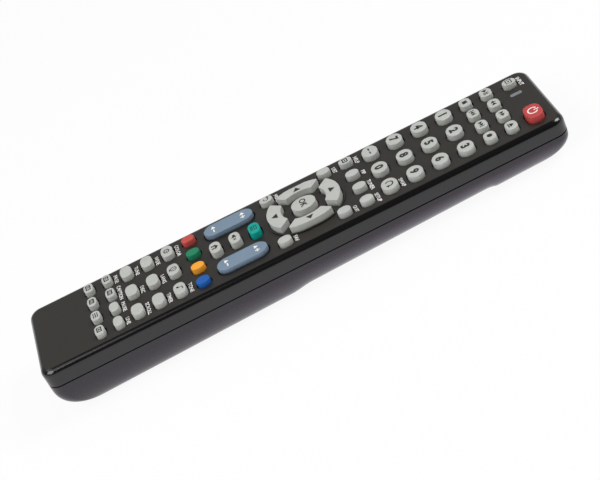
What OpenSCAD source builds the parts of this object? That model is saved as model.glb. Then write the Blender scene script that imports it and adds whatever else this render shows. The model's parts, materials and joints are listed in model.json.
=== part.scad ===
// Universal remote control: two case shells, separate rubber keys over a keypad sheet,
// a circuit board, and a bay for two cells under a swing-out door.
// It rests on z = 0 with its front end towards +Y and the keys on top.

/* [Case] */
// Length of the case
case_l = 235; // [230:1:260]
// Width of the case
case_w = 47.6; // [46.4:0.2:56]
// Depth from the flat top to the resting plane, at mid-length
case_h = 22.8; // [21.6:0.2:28]
// Angle between the flat top and the resting plane, in degrees
wedge = 2.04; // [1.4:0.02:2.4]
// Radius of the case corners in plan
corner_r = 5.5; // [5:0.25:8]
// Radius of the rounded upper edge
edge_r = 3; // [1.6:0.1:3.4]
// Depth of the parting line below the flat top, at mid-length
seam_z = 7.7; // [7.6:0.1:8.6]
// Angle between the parting line and the flat top, in degrees
seam_tilt = 0.32; // [0:0.02:0.34]
// Height of the shadow gap at the parting line
seam_gap = 0.3; // [0.2:0.05:0.5]
// Thickness of the side walls
wall = 1.9; // [1.5:0.1:2.2]
// Thickness of the flat top
top_wall = 1.8; // [1.5:0.1:2]
// Thickness of the lower shell's floor
floor_t = 3.4; // [3:0.1:4.2]

/* [Lower shell] */
// How far the long sides curve in under the case
side_round = 8; // [6:0.5:9]
// How far the back end curves in under the case
back_round = 14; // [12:0.5:18]
// How far the front end curves in under the case
front_round = 13.5; // [9:0.5:15]
// Corner radius in plan where the curve meets the resting plane
sole_corner_r = 10; // [8:0.5:12]
// Share of the lower shell's depth that stays upright below the parting line
upright_share = 0.19; // [0.15:0.005:0.3]
// Depth of the finger recess under the case
recess_depth = 1.1; // [0.6:0.1:1.5]
// Back end of the finger recess, from mid-length
recess_back = -12; // [-16:1:-8]
// Front end of the finger recess, from mid-length
recess_front = 83; // [70:1:90]
// Length of the ramp at the back of the recess
back_ramp = 9; // [6:1:16]
// Length of the ramp at the front of the recess
front_ramp = 4; // [3:1:8]

/* [Keys] */
// Height of the low keys above the flat top
key_h = 2.3; // [1.6:0.1:3]
// Height of the tall keys above the flat top
tall_h = 2.9; // [2:0.1:3.6]
// Width of the small oval keys
oval_w = 4.9; // [4.4:0.1:5.6]
// Length of the small oval keys
oval_l = 6.1; // [5.4:0.1:6.8]
// Width of the power key
power_w = 10; // [8:0.1:11]
// Length of the power key
power_l = 7.6; // [6:0.1:8]
// Width of the playback keys
tape_w = 6.4; // [5.4:0.1:7]
// Length of the playback keys
tape_l = 5.4; // [4.6:0.1:6]
// Width of the number keys
digit_w = 8.2; // [7:0.1:9.5]
// Length of the number keys
digit_l = 7.2; // [6:0.1:8]
// Width of the three keys between the rockers
middle_w = 7.8; // [6.5:0.1:9]
// Length of the three keys between the rockers
middle_l = 5.2; // [4.4:0.1:5.8]
// Width of the function keys
function_w = 7.8; // [6.5:0.1:9]
// Length of the function keys
function_l = 5.5; // [4.6:0.1:6.2]
// Width of the text keys
page_w = 6.5; // [5.5:0.1:7.2]
// Length of the text keys
page_l = 4.4; // [3.6:0.1:4.8]
// Corner radius of a key as a share of its smaller side
key_round = 0.48; // [0.3:0.01:0.49]
// Radius of a key's rounded upper edge
key_edge = 0.6; // [0.3:0.05:0.9]
// Travel of a pressed key
key_travel = 0.8; // [0.4:0.1:1]

/* [Key layout] */
// Row of the input and power keys, from mid-length
first_row_y = 107.8; // [106:0.2:108]
// Input key, left of the middle
input_x = 14.4; // [13:0.2:15.5]
// Power key, right of the middle
power_x = 13.5; // [12.5:0.25:14]
// First row of playback keys, from mid-length
tape_y = 97.2; // [96.5:0.1:97.6]
// Spacing of the playback rows
tape_row = 9.6; // [9.2:0.1:9.9]
// Spacing of the playback keys across the case
tape_pitch = 10; // [9.4:0.1:10.4]
// First row of number keys, from mid-length
digit_y = 77; // [76:0.1:77.4]
// Spacing of the number rows
digit_row = 11.45; // [10.6:0.05:11.6]
// Spacing of the number keys across the case
digit_pitch = 14; // [12:0.25:14.5]
// Row of small keys behind the numbers, from mid-length
info_y = 31.7; // [31.3:0.1:32.2]
// Spacing of the four small keys across the case
oval_pitch = 10.6; // [9:0.2:11]
// Corner keys of the direction pad, from its middle along the case
pad_corner_y = 13.4; // [13:0.1:13.8]
// Corner keys of the direction pad, from its middle across the case
pad_corner_x = 16.2; // [15.8:0.1:17]
// Rockers and the keys between them, from mid-length
rocker_y = -23.7; // [-24.2:0.1:-23.2]
// Spacing of the three keys between the rockers
middle_row = 8.9; // [8.4:0.1:9.2]
// Row of coloured keys, from mid-length
color_y = -42.1; // [-42.6:0.1:-41.6]
// First row of function keys, from mid-length
function_y = -52.2; // [-52.6:0.1:-51.6]
// Spacing of the function rows
function_row = 9.6; // [9.2:0.1:9.8]
// Spacing of the function keys across the case
function_pitch = 14.3; // [12:0.1:14.8]
// First row of text keys, from mid-length
page_y = -80.3; // [-80.6:0.1:-79.8]
// Spacing of the text rows
page_row = 8.4; // [8:0.1:8.8]
// Spacing of the text keys across the case
page_pitch = 10.4; // [9.6:0.1:10.6]

/* [Direction pad] */
// Middle of the direction pad, from mid-length
pad_y = 8.1; // [7.7:0.1:8.5]
// Width of the ring of direction keys
pad_w = 27.4; // [25.5:0.1:27.6]
// Length of the ring of direction keys
pad_l = 32.8; // [31:0.2:33]
// Width of the opening inside the ring
pad_bore_w = 18.2; // [16:0.2:19]
// Length of the opening inside the ring
pad_bore_l = 20.2; // [18.6:0.2:21]
// Gap between neighbouring direction keys
pad_slot = 3.6; // [2.4:0.1:4]
// Angle of those gaps from the length of the case, in degrees
pad_split = 42.5; // [38:0.5:45]
// Length of the left and right direction keys
pad_side_l = 19; // [16:0.5:20]
// Height of the direction keys above the flat top
pad_h = 3.1; // [2.4:0.1:4]
// Width of the enter key
enter_w = 9.4; // [8:0.2:10.4]
// Length of the enter key
enter_l = 11; // [9:0.2:12]
// Height of the enter key above the flat top
enter_h = 3.2; // [2.6:0.1:4.2]
// Height of the raised oval under the pad
pad_rise = 0.4; // [0.3:0.1:1.2]
// Margin of the raised oval around the pad
pad_margin = 0.85; // [0.6:0.05:1.2]

/* [Rockers] */
// Width of a rocker
rocker_w = 8.2; // [7:0.2:9]
// Length of a rocker
rocker_l = 22.6; // [18:0.2:24]
// Rockers, from the middle across the case
rocker_x = 13.35; // [13:0.05:14.2]
// Largest tilt of a rocker, in degrees
rocker_tilt = 3.5; // [2:0.5:3.5]
// Radius of the rib that a rocker tilts on
rocker_rib_r = 1; // [0.6:0.1:1.1]

/* [Inside] */
// Depth of the circuit board's upper face below the flat top
board_z = 5; // [5:0.05:5.1]
// Thickness of the circuit board
board_t = 1.6; // [1:0.1:1.7]
// Gap between the board's edge and the side wall
board_gap = 0.7; // [0.5:0.1:0.8]
// Front edge of the board, from the front end of the case
board_front = 5; // [4.6:0.1:5]
// Back edge of the board, from the back end of the case
board_back = 23.5; // [21:0.5:23.5]
// Thickness of the keypad sheet
mat_t = 1.6; // [1.2:0.1:1.7]
// Thickness of the flange round a key
flange_t = 0.8; // [0.6:0.1:0.9]
// Width of the flange round a key
flange_w = 0.8; // [0.5:0.05:0.9]
// Radius of a key's contact post
post_r = 1.5; // [1:0.1:1.8]
// Radius of the light source at the front end
emitter_r = 1.5; // [1.2:0.1:1.6]
// Width of the indicator window
lens_w = 2; // [1.6:0.1:2.4]
// Length of the indicator window
lens_l = 5.3; // [4:0.1:6]
// Indicator window, left of the middle
lens_x = 7; // [6.4:0.1:7.4]
// Side of the control chip
chip_side = 12; // [8:0.5:16]
// Height of the control chip
chip_t = 1.6; // [1:0.1:2]
// Control chip, from mid-length
chip_y = 30; // [20:1:50]

/* [Battery bay] */
// Diameter of a cell
cell_d = 10.5; // [10:0.1:10.9]
// Length of a cell with its button
cell_l = 44.5; // [43:0.5:46]
// Middle of the bay, from mid-length
bay_y = -60; // [-62:0.5:-56]
// Length of a squeezed contact spring
spring_l = 4.6; // [3.5:0.1:6]
// Thickness of the contact plates
contact_t = 0.5; // [0.3:0.1:0.8]
// Side of the contact plates
contact_side = 8; // [6:0.5:9]
// Thickness of the walls round the bay
bay_wall = 1.4; // [1:0.1:1.8]
// Thickness of the battery door
door_t = 2.4; // [2:0.1:2.6]
// Width of the battery door
door_w = 29; // [27:0.5:30]
// Margin of the door past each end of the bay
door_margin = 5; // [4:0.5:7]
// Radius of the fingernail notch in front of the door
notch_r = 4; // [3:0.5:5]

/* [Screws] */
// Screws, from the middle across the case
screw_x = 13.5; // [12:0.5:14]
// Screws, from the back end of the case
screw_back = 14.5; // [13.5:0.5:15]
// Radius of the screw's shank
screw_r = 1.2; // [1:0.1:1.4]
// Radius of the screw's head
screw_head_r = 2.3; // [2:0.1:2.5]
// Height of the screw's head
screw_head_t = 1.8; // [1.2:0.1:2.2]

/* [Clearances] */
// Gap round a key in its hole
hole_gap = 0.5; // [0.2:0.05:0.55]
// Gap round a rocker in its hole
rocker_gap = 0.55; // [0.4:0.05:0.6]
// Gap between fixed pieces that face each other
fit_gap = 0.15; // [0.1:0.05:0.2]
// Gap round the battery door
door_gap = 0.25; // [0.2:0.05:0.35]
// Gap between a pin or a shank and its hole
pin_gap = 0.06; // [0.04:0.01:0.1]

/* [Hidden] */
$fn = 48;
over = 1;
edge_lap = 0.3;
corner_steps = 8;
curve_steps = 9;

CHARCOAL = [0.09, 0.088, 0.085];
GREY = [0.62, 0.63, 0.61];
RED = [0.72, 0.11, 0.12];
GREEN = [0.05, 0.4, 0.24];
ORANGE = [0.93, 0.5, 0.08];
BLUE = [0.05, 0.24, 0.58];
TEAL = [0.02, 0.52, 0.46];
SLATE = [0.4, 0.45, 0.55];
BOARD_GREEN = [0.1, 0.3, 0.16];
METAL = [0.72, 0.72, 0.7];

// The layout is drawn for a case of this length and width, and follows the case when it changes
drawn_l = 235;
drawn_w = 47.6;
along = case_l / drawn_l;
across = case_w / drawn_w;

// Inner faces and levels, measured down from the flat top
inner_w = case_w - 2 * wall;
inner_l = case_l - 2 * wall;
flange_z = top_wall + fit_gap;
post_z = board_z - key_travel - fit_gap;
mat_z = board_z - fit_gap / 3;
lip_z = board_z + board_t + fit_gap;
board_w = inner_w - 2 * board_gap;
board_y0 = board_back * along - case_l / 2;
board_y1 = case_l / 2 - board_front;
board_mid = (board_y0 + board_y1) / 2;
mat_edge = 0.2;
lip_drop = 3;
skirt_z = seam_z + lip_drop;

// The resting plane under the case frame, and the shift that centres the part
function sole_depth(y) = case_h - y * tan(wedge);
function seam_depth(y) = seam_z - y * tan(seam_tilt);
function below_seam(y) = sole_depth(y) - seam_depth(y);
front_reach = case_l / 2 * cos(wedge) + (case_h - edge_r) * sin(wedge);
upright_z = seam_depth(-case_l / 2) + upright_share * below_seam(-case_l / 2);
back_reach = case_l / 2 * cos(wedge) - (case_h - upright_z) * sin(wedge);
shift_y = (back_reach - front_reach) / 2;

// The finger recess: where its ramps start and end, and how far it lifts the lower shell
recess_y0 = recess_back * along;
recess_y1 = recess_front * along;
RECESS_STEPS = [recess_y0, recess_y0 + back_ramp, recess_y1 - front_ramp, recess_y1];
function recess_lift(y) = recess_depth * max(0, min(1, (y - recess_y0) / back_ramp,
                                                    (recess_y1 - y) / front_ramp));

// Bay, cells and door, measured up from the resting plane
bay_w = 2 * cell_d + 4 * fit_gap;
bay_l = cell_l + spring_l + 2 * contact_t + 4 * fit_gap;
bay_top = door_t + 2 * fit_gap + cell_d + fit_gap;
cell_x = cell_d / 2 + fit_gap;
cell_z = door_t + 2 * fit_gap + cell_d / 2;
button_r = 1.9;
button_l = 0.8;
door_l = bay_l + 2 * door_margin;
bay_cy = bay_y * along;
door_y0 = bay_cy - door_l / 2;
hinge_y = door_y0 + door_t / 2;
hinge_z = door_t / 2;
hinge_pin_r = door_t / 4;
hinge_pin_l = 1.4;
notch_depth = door_t / 2;

// Screw posts
screw_y = screw_back - case_l / 2;
post_wall = 1.7;
screw_post_r = screw_r + post_wall;
post_joint_z = seam_z + 1.5;
shoulder_z = post_joint_z + 2.8;
thread_l = 4.5;

// Rockers
rocker_cx = rocker_x * across;
rocker_cy = rocker_y * along;
rib_z = flange_z + rocker_rib_r - 0.35;
rocker_flange_l = 6;
rocker_post_inset = 3.3;
rocker_post_y = rocker_l / 2 - rocker_post_inset;
rocker_bridge = 3.6;
rocker_flange_drop = 0.4;

// Direction pad and indicator window
pad_cy = pad_y * along;
ring_w = pad_w * across;
ring_l = pad_l * along;
bore_w = pad_bore_w * across;
bore_l = pad_bore_l * along;
side_key_l = pad_side_l * along;
lens_r = lens_w * 0.4;
lens_cx = -lens_x * across;
lens_cy = first_row_y * along;

// Plain keys as drawn: node, x, y, width, length, height, colour
DIGITS = ["key_1", "key_2", "key_3", "key_4", "key_5", "key_6",
          "key_7", "key_8", "key_9", "key_dash", "key_0", "key_recall"];
FUNCTIONS = ["key_picture", "key_light", "key_sound", "key_zoom", "key_track",
             "key_timer", "key_auto", "key_media", "key_page"];
MIDDLES = ["key_teal", "key_mute", "key_home"];
COLORS = [["key_red", RED], ["key_green", GREEN], ["key_orange", ORANGE], ["key_blue", BLUE]];
PAD_CORNERS = [["key_menu", -1, 1], ["key_exit", 1, 1], ["key_back", -1, -1], ["key_guide", 1, -1]];

function four(name, pitch, y, w, l, h) =
    [for (i = [-1.5 : 1.5]) [name, i * pitch, y, w, l, h, GREY]];
function threes(names, pitch, row, y, w, l, h) =
    [for (i = [0 : len(names) - 1])
        [names[i], (i % 3 - 1) * pitch, y - floor(i / 3) * row, w, l, h, GREY]];

LAYOUT = concat(
    [["key_input", -input_x, first_row_y, oval_w, oval_l, key_h, GREY]],
    [["key_power", power_x, first_row_y, power_w, power_l, tall_h, RED]],
    four("keys_play", tape_pitch, tape_y, tape_w, tape_l, key_h),
    four("keys_skip", tape_pitch, tape_y - tape_row, tape_w, tape_l, key_h),
    threes(DIGITS, digit_pitch, digit_row, digit_y, digit_w, digit_l, key_h),
    four("keys_info", oval_pitch, info_y, oval_w, oval_l, key_h),
    [for (k = PAD_CORNERS)
        [k[0], k[1] * pad_corner_x, pad_y + k[2] * pad_corner_y, oval_w, oval_l, key_h, GREY]],
    [for (i = [0 : 2])
        [MIDDLES[i], 0, rocker_y + (1 - i) * middle_row, middle_w, middle_l, tall_h,
         i == 0 ? TEAL : GREY]],
    [for (i = [0 : 3])
        [COLORS[i][0], (i - 1.5) * oval_pitch, color_y, oval_w, oval_l, key_h, COLORS[i][1]]],
    threes(FUNCTIONS, function_pitch, function_row, function_y, function_w, function_l, key_h),
    four("keys_text_front", page_pitch, page_y, page_w, page_l, key_h),
    four("keys_text_back", page_pitch, page_y - page_row, page_w, page_l, key_h));

// The same keys on this case
KEYS = [for (k = LAYOUT) [k[0], k[1] * across, k[2] * along, k[3], k[4], k[5], k[6]]];

KEY_NODES = concat(
    ["key_input", "key_power", "keys_play", "keys_skip"], DIGITS, ["keys_info"],
    [for (k = PAD_CORNERS) k[0]], MIDDLES, [for (k = COLORS) k[0]], FUNCTIONS,
    ["keys_text_front", "keys_text_back"]);
PAD_NODES = ["key_up", "key_left", "key_down", "key_right"];
ROCKERS = [["rocker_left", -1], ["rocker_right", 1]];

// Frame of the case: z = 0 on the flat top, y = 0 at mid-length
module in_case() {
    translate([0, shift_y, 0]) rotate([-wedge, 0, 0]) translate([0, 0, case_h]) children();
}

// Frame of the base: z = 0 on the resting plane
module on_base() {
    translate([0, shift_y, 0]) children();
}

module rounded_rect(w, l, r) {
    square([w - 2 * r, l], center = true);
    square([w, l - 2 * r], center = true);
    for (x = [-1, 1], y = [-1, 1])
        translate([x * (w / 2 - r), y * (l / 2 - r)]) circle(r);
}

// A layer of a flat outline between two depths below the flat top
module layer(low, high) {
    translate([0, 0, -low]) linear_extrude(low - high) children();
}

// Section of a rounded edge, with a lap that reaches into the block behind it
module edge_section(r) {
    intersection() {
        circle(r);
        square(r);
    }
    translate([-edge_lap * r, 0]) square([2 * edge_lap * r, r * (1 - edge_lap)]);
}

// A block with upright corners of radius rc whose upper edge is rounded by re all round
module rounded_block(w, l, h, rc, re) {
    linear_extrude(h - re) rounded_rect(w, l, rc);
    linear_extrude(h) rounded_rect(w - 2 * re, l - 2 * re, rc - re);
    translate([0, 0, h - re]) for (a = [0, 180]) rotate([0, 0, a]) {
        translate([w / 2 - re, l / 2 - rc, 0]) rotate([90, 0, 0])
            linear_extrude(l - 2 * rc) edge_section(re);
        translate([w / 2 - rc, l / 2 - re, 0]) rotate([90, 0, -90])
            linear_extrude(w - 2 * rc) mirror([1, 0]) edge_section(re);
        for (x = [-1, 1])
            translate([x * (w / 2 - rc), l / 2 - rc, 0]) rotate([0, 0, x > 0 ? 0 : 90])
                rotate_extrude(angle = 90) translate([rc - re, 0]) edge_section(re);
    }
}

// Outline of a plain key, grown by a margin
module key_outline(w, l, grow = 0) {
    rounded_rect(w + 2 * grow, l + 2 * grow, key_round * min(w, l) + grow);
}

// Outline of the direction pad's ring, or of the hole inside it
module pad_oval(w, l) {
    r = w / 2;
    square([w, l - w], center = true);
    for (y = [-1, 1]) translate([0, y * (l / 2 - r)]) circle(r);
}

// Outline of one direction key: 0 front, 1 left, 2 back, 3 right
module pad_outline(turn, grow = 0, flange = 0) {
    far = 2 * ring_l;
    upright = turn % 2 == 0;
    half = upright ? pad_split : 90 - pad_split;
    intersection() {
        difference() {
            pad_oval(ring_w + 2 * (grow + flange), ring_l + 2 * (grow + flange));
            pad_oval(bore_w - 2 * grow, bore_l - 2 * grow);
            for (s = [-1, 1]) rotate(s * pad_split)
                square([pad_slot - 2 * grow, far], center = true);
        }
        rotate(90 * turn)
            polygon([[0, 0], [far * sin(half), far * cos(half)], [-far * sin(half), far * cos(half)]]);
        square([far, upright ? far : side_key_l + 2 * grow], center = true);
    }
}

// One rounded corner of the lower shell in plan: 0 front right, 1 front left, 2 back left, 3 back right
function shell_corner(q, hw, end, r) =
    [for (s = [0 : corner_steps])
        let (a = 90 * (q + s / corner_steps))
        [(q == 0 || q == 3 ? hw - r : r - hw) + r * cos(a), (q < 2 ? end - r : end + r) + r * sin(a)]];

// One ring of points round the lower shell, inset by a wall, at a share of the depth under the seam
function shell_ring(turn, share, inset, base) =
    let (
        tuck = 1 - cos(turn),
        hw = case_w / 2 - inset - side_round * tuck,
        front = case_l / 2 - inset - front_round * tuck,
        back = -case_l / 2 + inset + back_round * tuck,
        r = corner_r - inset + (sole_corner_r - corner_r) * tuck,
        last = len(RECESS_STEPS) - 1,
        flat = concat(shell_corner(0, hw, front, r), shell_corner(1, hw, front, r),
                      [for (i = [last : -1 : 0]) [-hw, RECESS_STEPS[i]]],
                      shell_corner(2, hw, back, r), shell_corner(3, hw, back, r),
                      [for (y = RECESS_STEPS) [hw, y]])
    )
    [for (p = flat)
        [p[0], p[1], -seam_depth(p[1]) - (below_seam(p[1]) - base - recess_lift(p[1])) * share]];

// Faces that close a ring of the lower shell: its front end, its back end and strips between them
function shell_cap() =
    let (
        steps = len(RECESS_STEPS),
        left = 2 * (corner_steps + 1),
        right = 2 * left + 2 * steps - 1
    )
    concat([concat([right], [for (j = [0 : left]) j])],
           [[for (j = [left + steps - 1 : right - steps + 1]) j]],
           [for (i = [0 : steps - 2]) [right - i - 1, right - i, left + i, left + i + 1]]);

// The lower shell's outer form, or with an inset its hollow, from a level below the seam down
module shell_form(inset, base, drop) {
    count = 4 * (corner_steps + 1) + 2 * len(RECESS_STEPS);
    rim = [for (p = shell_ring(0, 0, inset, base)) p - [0, 0, drop]];
    rings = concat([rim], [for (i = [0 : curve_steps])
        let (turn = 90 * i / curve_steps)
        shell_ring(turn, upright_share + (1 - upright_share) * sin(turn), inset, base)]);
    last = len(rings) - 1;
    points = [for (ring = rings) for (p = ring) p];
    sides = [for (i = [0 : last - 1], j = [0 : count - 1])
        let (a = i * count + j, b = i * count + (j + 1) % count)
        for (f = [[a, b, a + count], [b, b + count, a + count]]) f];
    sole = [for (f = shell_cap()) [for (j = f) last * count + j]];
    lid = [for (f = shell_cap()) [for (i = [len(f) - 1 : -1 : 0]) f[i]]];
    polyhedron(points, concat(sides, sole, lid));
}

// All the space under the parting line, from a drop below it
module under_seam(drop) {
    translate([0, 0, -seam_z - drop]) rotate([seam_tilt, 0, 0])
        translate([-case_w, -case_l, -case_h]) cube([2 * case_w, 2 * case_l, case_h]);
}

module screw_places() {
    for (x = [-1, 1]) translate([x * screw_x * across, screw_y, 0]) children();
}

// A bore along the screw axis between two depths below the flat top
module down_cylinder(r, low, high) {
    translate([0, 0, -low]) cylinder(r = r, h = low - high);
}

module top_case() {
    color(CHARCOAL) in_case() difference() {
        union() {
            difference() {
                translate([0, 0, -skirt_z]) rounded_block(case_w, case_l, skirt_z, corner_r, edge_r);
                layer(skirt_z + over, top_wall) rounded_rect(inner_w, inner_l, corner_r - wall);
                under_seam(0);
            }
            translate([0, pad_cy, 0]) layer(top_wall, -pad_rise)
                pad_oval(ring_w + 2 * (hole_gap + pad_margin), ring_l + 2 * (hole_gap + pad_margin));
            screw_places() down_cylinder(screw_post_r, post_joint_z, top_wall / 2);
        }
        layer(top_wall + over, -pad_rise - over) {
            for (k = KEYS) translate([k[1], k[2]]) key_outline(k[3], k[4], hole_gap);
            translate([0, pad_cy]) {
                for (turn = [0 : 3]) pad_outline(turn, hole_gap);
                key_outline(enter_w, enter_l, hole_gap);
            }
            for (r = ROCKERS) translate([r[1] * rocker_cx, rocker_cy])
                key_outline(rocker_w, rocker_l, rocker_gap);
            translate([lens_cx, lens_cy])
                rounded_rect(lens_w + 2 * fit_gap, lens_l + 2 * fit_gap, lens_r + fit_gap);
        }
        screw_places() down_cylinder(screw_r + pin_gap, post_joint_z + over, post_joint_z - thread_l - over);
        translate([0, case_l / 2 + over, -board_z]) rotate([90, 0, 0])
            cylinder(r = emitter_r + fit_gap, h = wall + 2 * over);
    }
}

// The ring that steps up inside the upper shell's wall, under the board's edge
module lip() {
    outer = wall + fit_gap;
    inner = outer + board_gap + 0.6;
    difference() {
        union() {
            intersection() {
                layer(skirt_z, lip_z) rounded_rect(case_w - wall, case_l - wall, corner_r - wall / 2);
                under_seam(seam_gap + fit_gap);
            }
            layer(skirt_z, lip_z)
                rounded_rect(case_w - 2 * outer, case_l - 2 * outer, corner_r - outer);
        }
        layer(skirt_z + over, lip_z - over)
            rounded_rect(case_w - 2 * inner, case_l - 2 * inner, corner_r - inner);
    }
}

module bottom_case() {
    color(CHARCOAL) difference() {
        union() {
            in_case() {
                difference() {
                    shell_form(0, 0, seam_gap);
                    shell_form(wall, floor_t, -over);
                }
                lip();
                screw_places() down_cylinder(screw_head_r + post_wall, sole_depth(screw_y) - floor_t / 2,
                                             post_joint_z + fit_gap);
            }
            on_base() translate([-bay_w / 2 - bay_wall, bay_cy - bay_l / 2 - bay_wall, floor_t / 2])
                cube([bay_w + 2 * bay_wall, bay_l + 2 * bay_wall, bay_top + bay_wall - floor_t / 2]);
        }
        in_case() screw_places() {
            down_cylinder(screw_head_r + fit_gap, sole_depth(screw_y) + over, shoulder_z);
            down_cylinder(screw_r + fit_gap, shoulder_z + over, post_joint_z - over);
        }
        on_base() {
            translate([-bay_w / 2, bay_cy - bay_l / 2, -over]) cube([bay_w, bay_l, bay_top + over]);
            door_pocket();
        }
    }
}

// Space for the door in the floor, with the sockets of its two pins and a fingernail notch
module door_pocket() {
    translate([-door_w / 2 - door_gap, door_y0 - door_gap, -over])
        cube([door_w + 2 * door_gap, door_l + 2 * door_gap, over + door_t + fit_gap]);
    translate([-door_w / 2 - hinge_pin_l - fit_gap, hinge_y, hinge_z]) rotate([0, 90, 0])
        cylinder(r = hinge_pin_r + pin_gap, h = door_w + 2 * (hinge_pin_l + fit_gap));
    translate([0, door_y0 + door_l + door_gap, -over]) cylinder(r = notch_r, h = over + notch_depth);
}

module battery_door() {
    color(CHARCOAL) on_base() {
        translate([-door_w / 2, hinge_y, 0]) cube([door_w, door_l - door_t / 2, door_t]);
        translate([-door_w / 2, hinge_y, hinge_z]) rotate([0, 90, 0])
            cylinder(r = door_t / 2, h = door_w);
        translate([-door_w / 2 - hinge_pin_l, hinge_y, hinge_z]) rotate([0, 90, 0])
            cylinder(r = hinge_pin_r, h = door_w + 2 * hinge_pin_l);
    }
}

module keypad_sheet() {
    grow = flange_w + hole_gap;
    low = mat_z;
    high = mat_z - mat_t;
    color([0.25, 0.25, 0.25]) in_case() difference() {
        layer(low, high) translate([0, board_mid])
            square([board_w - 2 * mat_edge, board_y1 - board_y0 - 2 * mat_edge], center = true);
        layer(low + over, high - over) {
            for (k = KEYS) translate([k[1], k[2]]) key_outline(k[3], k[4], grow);
            translate([0, pad_cy]) pad_oval(ring_w + 2 * grow, ring_l + 2 * grow);
            translate([lens_cx, lens_cy])
                square([lens_w + 2 * grow, lens_l + 2 * grow], center = true);
            for (r = ROCKERS) translate([r[1] * rocker_cx, rocker_cy]) difference() {
                key_outline(rocker_w, rocker_l, rocker_gap);
                square([2 * rocker_w, rocker_bridge], center = true);
            }
        }
        layer(rib_z + rocker_rib_r + fit_gap, high - over)
            for (r = ROCKERS) translate([r[1] * rocker_cx, rocker_cy])
                square([rocker_w + 2 * grow, rocker_flange_l + 2 * grow], center = true);
    }
}

module circuit_board() {
    color(BOARD_GREEN) in_case() layer(board_z + board_t, board_z) translate([0, board_mid])
        square([board_w, board_y1 - board_y0], center = true);
}

module control_chip() {
    color(CHARCOAL) in_case()
        layer(board_z + board_t + fit_gap / 3 + chip_t, board_z + board_t + fit_gap / 3)
            translate([0, chip_y * along]) square(chip_side, center = true);
}

// The infrared light source, lying in the front wall before the board's edge
module emitter() {
    tip_y = case_l / 2 - emitter_r;
    color([0.2, 0.15, 0.25]) in_case() translate([0, tip_y, -board_z]) {
        rotate([90, 0, 0]) cylinder(r = emitter_r, h = tip_y - board_y1 - fit_gap);
        sphere(emitter_r);
    }
}

module indicator_lens() {
    color([0.45, 0.48, 0.52]) in_case() translate([lens_cx, lens_cy]) {
        layer(flange_z + flange_t / 2, 0) rounded_rect(lens_w, lens_l, lens_r);
        layer(flange_z + flange_t, flange_z)
            square([lens_w + flange_w, lens_l + flange_w], center = true);
    }
}

module indicator_light() {
    color([0.9, 0.9, 0.85]) in_case() translate([lens_cx, lens_cy])
        layer(mat_z, flange_z + flange_t + key_travel) square([lens_w, lens_l / 2], center = true);
}

// Both cells lie along the case, turned end for end
module battery_cells() {
    color([0.15, 0.3, 0.45]) on_base() for (s = [-1, 1])
        translate([s * cell_x, bay_cy, cell_z]) rotate([-90, 0, s < 0 ? 0 : 180])
            translate([0, 0, bay_l / 2 - contact_t - 2 * fit_gap - cell_l]) {
                cylinder(r = cell_d / 2, h = cell_l - button_l);
                cylinder(r = button_r, h = cell_l);
            }
}

// A square plate against the bay's end wall, one for each cell
module bay_plates(side) {
    for (s = [-1, 1])
        translate([s * cell_x, bay_cy, cell_z]) rotate([-90, 0, s * side < 0 ? 0 : 180])
            translate([0, 0, fit_gap / 3 - bay_l / 2]) {
                translate([-contact_side / 2, -contact_side / 2, 0])
                    cube([contact_side, contact_side, contact_t]);
                children();
            }
}

module battery_springs() {
    color(METAL) on_base() bay_plates(1)
        cylinder(r1 = contact_side / 2.4, r2 = contact_side / 4, h = contact_t + spring_l);
}

module battery_contacts() {
    color(METAL) on_base() bay_plates(-1) cylinder(r = button_r, h = contact_t + fit_gap);
}

module case_screws() {
    color(METAL) in_case() screw_places() difference() {
        union() {
            down_cylinder(screw_head_r, shoulder_z + fit_gap / 3 + screw_head_t, shoulder_z + fit_gap / 3);
            down_cylinder(screw_r, shoulder_z + screw_head_t, post_joint_z - thread_l);
        }
        for (a = [0, 90]) rotate(a)
            translate([-screw_head_r * 0.7, -screw_r / 3, -shoulder_z - screw_head_t - over])
                cube([screw_head_r * 1.4, screw_r * 2 / 3, over + screw_head_t / 2]);
    }
}

// Body of a key from a depth below the flat top up to its rounded upper edge
module key_cap(w, l, low, h) {
    translate([0, 0, -low]) rounded_block(w, l, low + h, key_round * min(w, l), key_edge);
}

// Flange that holds a key under the flat top
module flange() {
    layer(flange_z + flange_t, flange_z) children();
}

module key_node(name) {
    for (k = KEYS) if (k[0] == name)
        color(k[6]) in_case() translate([k[1], k[2], 0]) {
            key_cap(k[3], k[4], flange_z + flange_t / 2, k[5]);
            flange() key_outline(k[3], k[4], flange_w);
            down_cylinder(min(post_r, k[4] / 3), post_z, flange_z + flange_t / 2);
        }
}

module key_enter() {
    color(GREY) in_case() translate([0, pad_cy, 0]) {
        key_cap(enter_w, enter_l, flange_z + flange_t / 2, enter_h);
        flange() key_outline(enter_w, enter_l, flange_w);
        down_cylinder(post_r, post_z, flange_z + flange_t / 2);
    }
}

// One direction key, with its flange along the outer edge
module pad_key(turn) {
    reach = turn % 2 == 0 ? (ring_l + bore_l) / 4 : (ring_w + bore_w) / 4;
    color(GREY) in_case() translate([0, pad_cy, 0]) {
        layer(flange_z + flange_t / 2, -pad_h) pad_outline(turn);
        flange() pad_outline(turn, 0, flange_w);
        rotate(90 * turn) translate([0, reach, 0]) down_cylinder(post_r, post_z, flange_z + flange_t / 2);
    }
}

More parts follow.
